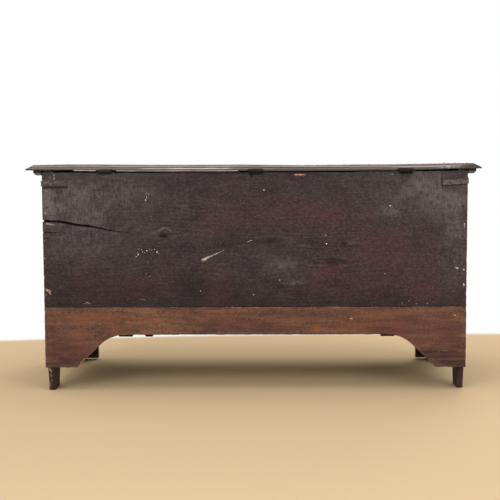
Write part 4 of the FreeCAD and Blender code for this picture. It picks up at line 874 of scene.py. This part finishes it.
def lid_board(name, front, rear, seed, nosed):
    """One lid board. Its ends slope down to a thin edge in two shallow rounds: height over the underside is
    3.5 mm, plus a straight rise of 12.5 mm, plus half a millimetre of the size of a sine. The nosed board
    has the same slope along its front. The rear edge is two reeds with a groove between them, and the board
    sags there between its ends."""
    turns = np.linspace(0.0, 1.0, 17)[1:-1] * SLOPE
    ends = [ends_first(*LID_TIPS, 3.0 * MM), LID_TIPS[0] + turns, LID_TIPS[1] - turns]
    along = np.unique(np.concatenate(ends))
    across = ends_first(np.full(along.shape, front), np.full(along.shape, rear), 5.0 * MM)
    if nosed:
        nose = np.broadcast_to(front + turns, (len(along), len(turns)))
        across = np.sort(np.concatenate([across, nose], axis=1), axis=1)
    x, y = np.broadcast_to(along[:, None], across.shape), across
    inward = np.minimum(x - LID_TIPS[0], LID_TIPS[1] - x)
    if nosed:
        inward = np.minimum(inward, y - front)
    share = unit(inward / SLOPE)
    dip = 12.5 * (1.0 - share) - 0.5 * np.abs(np.sin(math.tau * share))
    relief = 0.4 * wander(x, y, 0.2, 0.06, seed) + 0.15 * wander(x, y, 0.09, 0.007, seed + 1) - 0.35
    relief = relief * (share >= 1.0)

    def held(x):
        return unit((HINGE_REACH - off_hinge(x)) / (3 * MM))

    def reed(x, z):
        groove = bell(z - 0.4 * MM * wander(x, x, 0.05, 0.05, seed + 3), LID_UNDER + 9.5 * MM, 1.3 * MM)
        return -1.6 * groove - 0.4 + 0.4 * wander(x, z, 0.05, 0.006, seed + 4)

    def torn(x, middle, half):
        return unit((half - np.abs(x - middle)) / (4 * MM))

    def marks(x, y, edge, outer, loops):
        thick = LID_THICK / MM
        fallen = np.interp(x, *SAG.T)
        upper, lower = 0.55 * fallen, np.minimum(fallen, MOST_SAG)
        height = unit((loops[..., 2] - LID_UNDER) / LID_THICK)
        # Millimetres over the underside, and then over the lower edge of the worn bands
        low = thick * (height + lower * (1 - height) * held(x) / (thick - upper + lower))
        low = low + 0.4 * wander(x, x, 0.04, 0.05, seed + 8)
        h = low + np.interp(x, *BANDS.T)
        at_rear = unit((y - (LID_REAR - 3.6 * MM)) / MM) * (low < 15.6)
        rough = wander(x, h, 0.02, 2.0, seed + 6)
        long = wander(x, h, 0.09, 4.0, seed + 7)
        # Painted light: pale where the torn strips hang, for the white behind seen through the gap under the
        # lid
        pale = sum(torn(x, middle, half) for middle, half, lip in STRIPS)
        strip = at_rear * pale * bell(np.maximum(low, 0.7), 0.7, 0.8) * (0.74 + 0.3 * rough)
        # Pale bands on the reeds: partly wear, partly painted highlight
        upper = bell(h, UPPER_BAND, 1.3) * (0.58 + 0.22 * long)
        bright = np.clip(1.0 - np.abs(x - 0.195) / 0.15, 0, 0.3) / 0.3
        crest = bell(h, CREST, 1.2) * (0.08 + 0.9 * bright) * (0.85 + 0.5 * rough)
        dull = 0.35 * bell(h, CREST, 2.0) * unit((-0.03 - x) / 0.05)
        specks = unit(4 * wander(x, h, 0.005, 1.4, seed + 10))
        knocks = 1.4 * bell(x, -0.575, 0.022) * bell(h, 8.6, 2.6) * specks
        # Painted shade in the groove and in the dark band under the crest
        groove = bell(h, UPPER_GROOVE, 1.2) + 0.65 * bell(h, LOWER_GROOVE, 1.2) + dull
        whole = 1 - unit(1.6 * strip)
        # Painted shade in the gap over the back board
        foot = bell(np.maximum(low, 2.4), 2.4, 1.2) * whole
        # Darker towards the end at negative x
        far_end = unit((-0.60 - x) / 0.03)
        arris = unit(1.0 - edge / (2.5 * MM)) * unit(wander(x, y, 0.025, 0.02, seed + 5) * 1.5)
        beneath = (1 - outer) * (height < 0.19)
        shaded = beneath * unit((y - 0.19) / 0.05) * whole
        pale_wear_and_light = at_rear * (strip + upper + crest + knocks) * (1 - 0.7 * far_end)
        return {
            "rear": at_rear,
            "under": beneath * (1 - at_rear),
            # Pale: knocks, rubbed arrises, painted highlight on the reeds and painted light seen through the
            # gap under the lid
            "bare": unit(pale_wear_and_light + 0.2 * arris * outer),
            # Dark: painted shade in the grooves, over the back board and under the rear of the lid, and
            # darker towards the end at negative x
            "soot": unit(at_rear * (0.85 * groove + 0.95 * foot + 0.5 * far_end) + 0.85 * shaded),
        }

    def warp(loops):
        x, y, z = loops[..., 0], loops[..., 1], loops[..., 2]
        height = unit((z - LID_UNDER) / LID_THICK)
        depth = unit((y - LID_FRONT) / (LID_REAR - LID_FRONT))
        free = 1 - held(x)
        fallen = np.interp(x, *SAG.T)
        upper = fallen * (0.75 - 0.2 * depth)
        lower = depth**2 * unit((y + 0.18) / 0.05) * free * np.minimum(fallen, MOST_SAG)
        drop = lower + (upper - lower) * height
        lip = sum(torn(x, middle, half) * fall for middle, half, fall in STRIPS) * free
        lip = lip * unit((y - (LID_REAR - 10 * MM)) / (2 * MM)) * unit(1 - height / 0.1)
        bent = loops.copy()
        bent[..., 2] = z - MM * (drop + lip * (1 + 0.2 * wander(x, x, 0.01, 0.05, seed + 9)))
        return bent

    return plank(name, along, across, LID_UNDER, LID_TOP, "xyz", 0.9 * MM, seed + 2, relief, dip, 1.0 * MM,
                 rim=12, rim_relief=reed, back_step=12 * MM, marks=marks, warp=warp)


def round_oblong(across, deep):
    """Places round an oblong, from -1 to 1 both ways, with a number of steps on each pair of sides."""
    end, side = np.linspace(-1, 1, across + 1)[:-1], np.linspace(-1, 1, deep + 1)[:-1]
    u = np.concatenate([end, np.ones(deep), -end, -np.ones(deep)])
    v = np.concatenate([-np.ones(across), side, np.ones(across), -side])
    return u, v


def oblong(u, v, a, b, corner):
    """Rounds the corners of an oblong of half widths a and b: gives the nearest point of the oblong drawn in
    by the corner's radius, the way out from there, and how far round a corner the place lies, 0 to 1."""
    u, v = u * a, v * b
    core_u, core_v = np.clip(u, corner - a, a - corner), np.clip(v, corner - b, b - corner)
    out_u, out_v = u - core_u, v - core_v
    length = np.maximum(np.hypot(out_u, out_v), 1e-9)
    return core_u, core_v, out_u / length, out_v / length, np.clip(length / corner - 1.0, 0, 0.4) / 0.4


def corner_strap(name, side, tilt, soot, seed):
    """A hammered iron strap bent round a rear corner: an oblong section carried along the back, round a
    quarter circle and along the end board. It narrows to its tips, wanders in height and is dented by
    noise."""
    thin_half, bend_radius, corner, arm = 1.5 * MM, 3.5 * MM, 0.8 * MM, 74 * MM
    middle_x, middle_y = STRAP_SIDE - thin_half, STRAP_REAR - thin_half
    bend_x, bend_y = middle_x - bend_radius, middle_y - bend_radius
    along, down = ends_first(STRAP_TIP, bend_x, 3 * MM), ends_first(STRAP_END, bend_y, 3 * MM)[::-1]
    bend = np.linspace(math.pi / 2, 0.0, 9)[1:-1]
    x = np.concatenate([along, bend_x + bend_radius * np.cos(bend), np.full(down.shape, middle_x)])
    y = np.concatenate([np.full(along.shape, middle_y), bend_y + bend_radius * np.sin(bend), down])
    turn = np.concatenate([np.full(along.shape, math.pi / 2), bend, np.zeros(down.shape)])[:, None]
    run = np.cumsum(np.hypot(np.diff(x, prepend=x[0]), np.diff(y, prepend=y[0])))[:, None]
    tip = np.minimum(run, run[-1] - run)
    u, v = round_oblong(8, 16)
    thin = 1.0 - 0.4 * unit(1.0 - tip / (2 * MM)) ** 2
    wide = 7.3 + 1.2 * tip / tip.max() + 0.5 * wander(run, run, 0.014, 0.05, seed)
    half = MM * wide * (0.9 + 0.1 * thin)
    core_u, core_v, out_u, out_v, _ = oblong(u, v, thin_half * thin, half, corner)
    lean = MM * tilt * (1.0 - 2.0 * unit((arm - run) / arm))
    height = STRAP_LEVEL + lean + core_v + corner * out_v
    dent = 0.35 * MM * (wander(run + 0 * v, height, 0.009, 0.009, seed + 1) - 0.6) * unit(u)
    depth = core_u + corner * out_u + dent
    across_x, across_y = x[:, None] + depth * np.cos(turn), y[:, None] + depth * np.sin(turn)
    loops = np.stack([side * across_x, across_y, height], axis=-1)
    return shells(name, loops[None], {"soot": np.full(height.shape, soot)})


def rear_foot(name, node, leans, shaded, seed, chips):
    """A flat worn rear foot in the place of a CAD node: an oblong section carried up from the floor. Its
    left and right faces lean, the rear face is upright, and the front one slopes out by 30 mm. A point of
    the oblong goes to the nearest point of a smaller oblong, plus the corner's radius, less what the wear
    has bitten off."""
    width, corner = 19 * MM, 2.6 * MM
    (low, _, _), (high, rear, _) = corners(node)
    floor, top = (low, high - width) if leans > 0 else (high - width, low)
    level = np.array([0, 0.6, 1.6, 3, *range(5, 76, 3)])[:, None] * MM
    share = unit(level / PLINTH_FOOT)
    middle = floor + (top - floor) * share + width / 2
    deep = 65 * MM + 30 * MM * share
    u, v = round_oblong(14, 40)
    core_u, core_v, out_u, out_v, arris = oblong(u, v, width / 2, deep / 2, corner)
    around = np.arange(len(u)) * 1.6 * MM + 0 * level
    bite = 0.4 * wander(around, level, 0.02, 0.03, seed) + 0.3
    bite = bite + 3.0 * np.maximum(wander(around, level, 0.012, 0.011, seed + 1) - 0.2, 0) * arris
    bite = bite + 1.8 * unit(1 - level / (3 * MM)) ** 2
    reach = corner - MM * bite
    x, y = middle + core_u + reach * out_u, rear - deep / 2 + core_v + reach * out_v
    at_rear = unit((y - rear + 4 * MM) / (2 * MM))
    shade = shaded * (0.7 + 0.3 * wander(x, level, 0.008, 0.02, seed + 4))
    shade = shade * unit((middle + 3 * MM - x) / (6 * MM))
    rubbed = 0.5 * arris * unit(wander(around, level, 0.02, 0.014, seed + 2))
    values = {
        "bare": unit(strokes(x, level + 0 * x, chips) * at_rear + rubbed),
        "soot": 1.05 + 0.2 * wander(around, level, 0.02, 0.03, seed + 3),
        # Painted shade on the side and front faces and on the shaded half of the rear face
        "grime": np.maximum(1.0 - at_rear, shade),
    }
    return shells(name, np.stack([x, y, level + 0 * x], axis=-1)[None], values)


def shadow_leaf_lap(name, course, seed):
    """A dark iron strip on the back of the chest under a hinge barrel, painted shade where the barrel's
    shadow falls, shaped as the turned-down end of a hinge leaf: an oblong section about 3 mm thick, carried
    along a course of x, top and bottom in millimetres. Its corners are round, its ends are drawn in, and
    noise dents it."""
    corner, half_thick, off_face = 1.2 * MM, 1.6 * MM, 0.9 * MM
    x, top, bottom = MM * np.array(course[::-1]).T
    along = ends_first(x.min(), x.max(), 2 * MM, (0.0, 0.5, 1.4))
    high, low = np.interp(along, x, top)[:, None], np.interp(along, x, bottom)[:, None]
    u, v = round_oblong(4, 8)
    core_u, core_v, out_u, out_v, _ = oblong(u, v, half_thick, (high - low) / 2, corner)
    end = np.clip(np.minimum(along - along[0], along[-1] - along) / (1.4 * MM), 0.3, 1)[:, None]
    reach = corner * end + 0.3 * MM * wander(along[:, None] + v * MM, v, 0.006, 0.5, seed)
    y, z = BACK_FACE + off_face + core_u + reach * out_u, (high + low) / 2 + core_v + reach * out_v
    return shells(name, np.stack([along[:, None] + 0 * z, y, z], axis=-1)[None])


# Shares of a head's half width and rise from its flat top over its rim into the wood
HEAD_OUTLINE = np.array(((0.42, 1.0), (0.8, 0.75), (1.0, 0.2), (0.95, -1.0)))


def heads(name, places, size, rise, seed, axis="y"):
    """Small raised heads on a face: each is an uneven round of eight corners, carried from its flattened top
    over its rim into the wood. places holds points on the face, size the half widths and rise the heights.
    axis is the way the face looks, with a minus for the other way."""
    draw = np.random.default_rng(seed)
    count, sides = len(places), 8
    turn = np.arange(sides) * math.tau / sides + draw.uniform(0, 1, (count, 1))
    share, height = HEAD_OUTLINE.T[:, :, None]
    size, rise = (np.broadcast_to(value, count)[:, None, None] for value in (size, rise))
    radius = size * share * draw.uniform(0.84, 1.12, (count, 1, sides))
    up = rise * height * draw.uniform(0.85, 1.1, (count, 1, sides))
    first, second = radius * np.cos(turn)[:, None], radius * np.sin(turn)[:, None]
    order = {"y": (0, 2, 1), "x": (1, 2, 0), "z": (0, 1, 2)}[axis[-1]]
    loops = np.empty((*radius.shape, 3))
    for slot, value in zip(order, (first, second, -up if axis[0] == "-" else up)):
        loops[..., slot] = value
    return shells(name, loops + np.asarray(places, float)[:, None, None, :])


def ease(piece, width):
    """Softens a CAD piece's arrises: its loose triangles are welded, those in one plane are joined, and then
    every sharp arris is rounded."""
    weld = piece.modifiers.new("weld", "WELD")
    weld.merge_threshold = 0.005 * MM
    flat = piece.modifiers.new("join flats", "DECIMATE")
    flat.decimate_type, flat.angle_limit = "DISSOLVE", math.radians(0.2)
    rounding = piece.modifiers.new("ease", "BEVEL")
    rounding.width, rounding.segments = width, 2
    rounding.limit_method, rounding.angle_limit = "ANGLE", math.radians(35)
    piece.modifiers.new("flat faces", "WEIGHTED_NORMAL").weight = 100


photo_camera()
studio()

lid_ground, lid_layers = WAXED_OAK
foot_ground, foot_layers = RED_STAINED_OAK
# Painted shade on the feet's side and front faces and on the shaded half of their rear faces
foot_colours = (foot_ground, foot_layers + (("grime", 0.0, 1.0, 0.85, GRIME_AND_SHADE_OAK),))
bare_inside, grime_and_shade_inside = RUBBED_AND_SHADED + BARE_INSIDE, RUBBED_AND_SHADED + GRIME_AND_SHADE_INSIDE
materials = {
    "back": finish("sawn oak under old dark stain", STAINED_OAK, ("mottle", 0.55, 0.75), SAWN, "x",
                   (0.0, 0.3, 0.1), growth=(7, 330, 420), Specular_IOR_Level=0.2),
    "plinth": finish("planed oak under red-brown stain", RED_STAINED_OAK, ("mottle", 0.45, 0.65), SAWN, "x",
                     (0.4, 0.0, 0.2), growth=(6, 300, 130), Specular_IOR_Level=0.3),
    "lid": finish("waxed oak worn grey at the rear edge", (lid_ground, lid_layers + LID_MARKS),
                  ("mottle", 0.3, 0.46), PLANED, "x", (0.7, 0.1, 0.4), growth=(11, 140, -60),
                  Specular_IOR_Level=0.38),
    "foot": finish("red-stained oak, rear feet", foot_colours, ("mottle", 0.5, 0.7), SAWN, "z",
                   (0.6, 0.6, 0.1), Specular_IOR_Level=0.25),
    "ends": waxed("waxed oak, upright boards", "z", (0.2, 0.5, 0.0), bare_inside,
                  ("|X|", END_INNER + 4 * MM, END_INNER + MM)),
    "front": waxed("waxed oak, front board", "x", (0.9, 0.2, 0.0), bare_inside,
                   ("Y", FRONT_INNER - 1.2 * MM, FRONT_INNER - 0.3 * MM)),
    "drawer": waxed("waxed oak, drawer fronts", "x", (0.3, 0.0, 0.6), bare_inside,
                    ("Y", DRAWER_INNER - 4.6 * MM, DRAWER_INNER - 1.6 * MM)),
    "trim": waxed("waxed oak, mouldings and rails", "x", (0.5, 0.7, 0.3)),
    # Inner faces of the front plinth near black: dirt and painted shade
    "bracket": waxed("waxed oak, front plinth", "x", (0.5, 0.7, 0.3), grime_and_shade_inside,
                     ("Y", BRACKET_INNER - 0.8 * MM, BRACKET_INNER - 0.2 * MM)),
    "muntin": waxed("waxed oak, muntin", "z", (0.1, 0.2, 0.9)),
    "cleat": bare("worn grey oak, cleats", "y", (0.1, 0.8, 0.2), GREY_CLEAT,
                  ("Z", CLEAT_TOP - 10 * MM, CLEAT_TOP - 6 * MM)),
    # Glued blocks under the chest: near black, dirt and painted shade
    "grimy_shaded": bare("grimy oak, glued blocks", "z", (0.3, 0.9, 0.5), GRIME_AND_SHADE_OAK),
    "bare_x": bare("bare oak, lengthways", "x", (0.4, 0.1, 0.7)),
    "bare_y": bare("bare oak, front to back", "y", (0.8, 0.4, 0.2)),
    "iron": iron("forged iron", BLACK_IRON, 0.14),
    "strap": iron("forged iron under dark paint", PAINTED_IRON, 0.06),
    "brass": finish("cast brass with tarnish", TARNISHED_BRASS, ("cast", 0.24, 0.5),
                    (("cast", 0.15), ("pits", 0.08)), Metallic=1.0),
    "paint": finish("specks of white paint", OLD_PAINT, ("scale", 0.5, 0.7), (("scale", 0.1),)),
}

# Which finish each CAD node has; a star stands for left and right
FINISHES = {
    "back": ("back_board",),
    "plinth": ("back_plinth_board",),
    "lid": ("lid_front_board", "lid_rear_board"),
    "foot": ("rear_foot_*",),
    "ends": ("end_board_*",),
    "front": ("front_board",),
    "drawer": ("*_drawer_front",),
    "trim": ("plinth_moulding", "waist_moulding", "bottom_rail"),
    "bracket": ("front_plinth_rail", "front_bracket_*"),
    "muntin": ("centre_muntin",),
    "cleat": ("lid_cleat_*",),
    "grimy_shaded": ("rear_corner_blocks", "front_corner_blocks", "plinth_glue_block"),
    "bare_x": ("chest_floor_boards", "drawer_stops", "*_drawer_back"),
    "bare_y": (
        "drawer_runners", "drawer_guide", "floor_bearers", "*_drawer_inner_side", "*_drawer_outer_side",
        "*_drawer_bottom",
    ),
    "strap": ("corner_strap_*",),
    "iron": (
        "hinge_*_back_leaf", "hinge_centre_back_leaf", "hinge_*_lid_strap", "hinge_centre_lid_strap",
        "hinge_pins", "lock_case", "lock_staple", "lock_bolt", "*_drawer_handle_nuts",
    ),
    "brass": (
        "lock_escutcheon", "*_drawer_handle_posts", "*_drawer_handle_roses", "*_drawer_inner_bail",
        "*_drawer_outer_bail",
    ),
}
EASED = ("ends", "front", "drawer", "trim", "bracket", "muntin", "cleat", "grimy_shaded", "bare_x", "bare_y")
for finish_name, names in FINISHES.items():
    for node in sorted({name.replace("*", side) for name in names for side in ("left", "right")}):
        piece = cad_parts[node]
        piece.data.materials.clear()
        piece.data.materials.append(materials[finish_name])
        if finish_name in EASED:
            ease(piece, 1.0 * MM)


def worn(piece, finish_name, body, slot, node=None):
    """Puts a new piece on its body, with its finish, in place of a CAD node if one is named."""
    piece.data.materials.append(materials[finish_name])
    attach(piece if slot else piece, body)
    if node:
        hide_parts(node)


worn(back_board(), "back", "carcass", "stained_back", "back_board")
worn(back_plinth(), "plinth", "carcass", "stained_plinth", "back_plinth_board")
for part, front, rear, seed in (("rear", LID_JOINT, LID_REAR, 60), ("front", LID_FRONT, LID_JOINT, 80)):
    board = lid_board(f"old_lid_{part}_board", front, rear, seed, part == "front")
    worn(board, "lid", "lid", "polished_oak", f"lid_{part}_board")

for side, leans, shaded, seed, chips in (
    ("right", 1, 0.85, 90, (
        (617, 64, 614, 56, 2.2, 1.8, 0.8), (615, 48, 613, 41, 2, 1.6, 0.62),
        (613, 31, 612, 26, 1.8, 1.4, 0.55), (617, 24, 616.5, 10, 1.6, 1.4, 0.5))),
    ("left", -1, 0.3, 95, ((-623.5, 10, -623.5, 4, 2, 1.6, 0.3),)),
):
    foot = rear_foot(f"worn_rear_foot_{side}", f"rear_foot_{side}", leans, shaded, seed, chips)
    worn(foot, "foot", "carcass", "stained_plinth", f"rear_foot_{side}")

for side, sign, tilt, soot in (("right", 1, 0.2, 0.22), ("left", -1, 3.0, 0.0)):
    strap = corner_strap(f"hammered_corner_strap_{side}", sign, tilt, soot, 100 + sign)
    worn(strap, "strap", "carcass", "wrought_iron", f"corner_strap_{side}")

# Dark iron strips under the centre and left hinge barrels: painted shade where the barrels' shadow falls
for part, course in (
    ("centre", (
        (16, 652, 647), (12.5, 652, 646), (10.5, 652, 639.5), (4.5, 652, 639.5), (2.5, 652, 646),
        (-24.5, 651.5, 646.5))),
    ("left", ((-427.5, 652, 648), (-430, 652, 645.5), (-466, 652, 646))),
):
    worn(shadow_leaf_lap(f"hinge_{part}_lap_for_shadow", course, 110), "iron", "carcass", "wrought_iron")

speck_x, speck_z = MM * SPECKS[:, :2].T
on_face = np.stack([speck_x, BACK_FACE + MM * stained_hollows(speck_x, speck_z), speck_z], axis=1)
worn(heads("paint_specks", on_face, 1.9 * MM * SPECKS[:, 2], 0.7 * MM, 7), "paint", "carcass", None)

# Hand-made nails and pins: name, body, finish, way the head looks, half width, rise and places
both = (1, -1)
strap_x, strap_y = STRAP_SIDE - 0.2 * MM, STRAP_REAR - 0.2 * MM
lock_face = corners("lock_case")[1][1]
plate_face = corners("lock_escutcheon")[0][1]
SUNK = 0.4 * MM
NAILS = (
    ("strap_nails_back", "carcass", "strap", "y", 3.2, 1.1,
     [(sign * x, strap_y, STRAP_LEVEL) for sign in both for x in (0.570, 0.5985)]),
    ("strap_nails_right", "carcass", "strap", "x", 3.2, 1.1,
     [(strap_x, y, STRAP_LEVEL) for y in (0.203, 0.232)]),
    ("strap_nails_left", "carcass", "strap", "-x", 3.2, 1.1,
     [(-strap_x, y, STRAP_LEVEL + 3 * MM) for y in (0.203, 0.232)]),
    ("back_board_nails", "carcass", "back", "y", 2.8, 0.6,
     [(sign * 0.6165, BACK_FACE - SUNK, z) for sign in both for z in (0.29, 0.38, 0.46, 0.55)]),
    ("plinth_nails", "carcass", "plinth", "y", 3.6, 0.8,
     [(sign * 0.6165, PLINTH_FACE - SUNK, z) for sign in both for z in (0.13, 0.21)]),
    ("front_nails", "carcass", "iron", "-y", 3.4, 0.9,
     [(sign * 0.6175, FRONT_FACE, z) for sign in both for z in (0.04, 0.085, 0.38, 0.47, 0.56, 0.635)]),
    ("leaf_nails", "carcass", "iron", "-y", 3.4, 1.2,
     [(x + dx, LEAF_INNER, z) for x in HINGES for dx, z in ((-0.01, 0.61), (0.01, 0.61), (0.0, 0.635))]),
    ("lock_nails", "carcass", "iron", "y", 3.2, 1.2,
     [(sign * 0.043, lock_face, z) for sign in both for z in (0.595, 0.648)]),
    ("escutcheon_pins", "carcass", "brass", "-y", 1.6, 0.8, [(0.0, plate_face, z) for z in (0.581, 0.6255)]),
    ("hinge_strap_nails", "lid", "iron", "-z", 3.4, 1.2,
     [(x, y, LID_UNDER - 2.3 * MM) for x in HINGES for y in (0.07, 0.115, 0.16, 0.205)]),
    ("cleat_nails", "lid", "iron", "z", 3.4, 0.8,
     [(sign * 0.638, y, LID_TOP - SUNK) for sign in both for y in (-0.2, 0.0, 0.2)]),
)
for seed, (name, body, finish_name, axis, half, rise, places) in enumerate(NAILS, 120):
    worn(heads(name, places, half * MM, rise * MM, seed, axis=axis), finish_name, body, None)
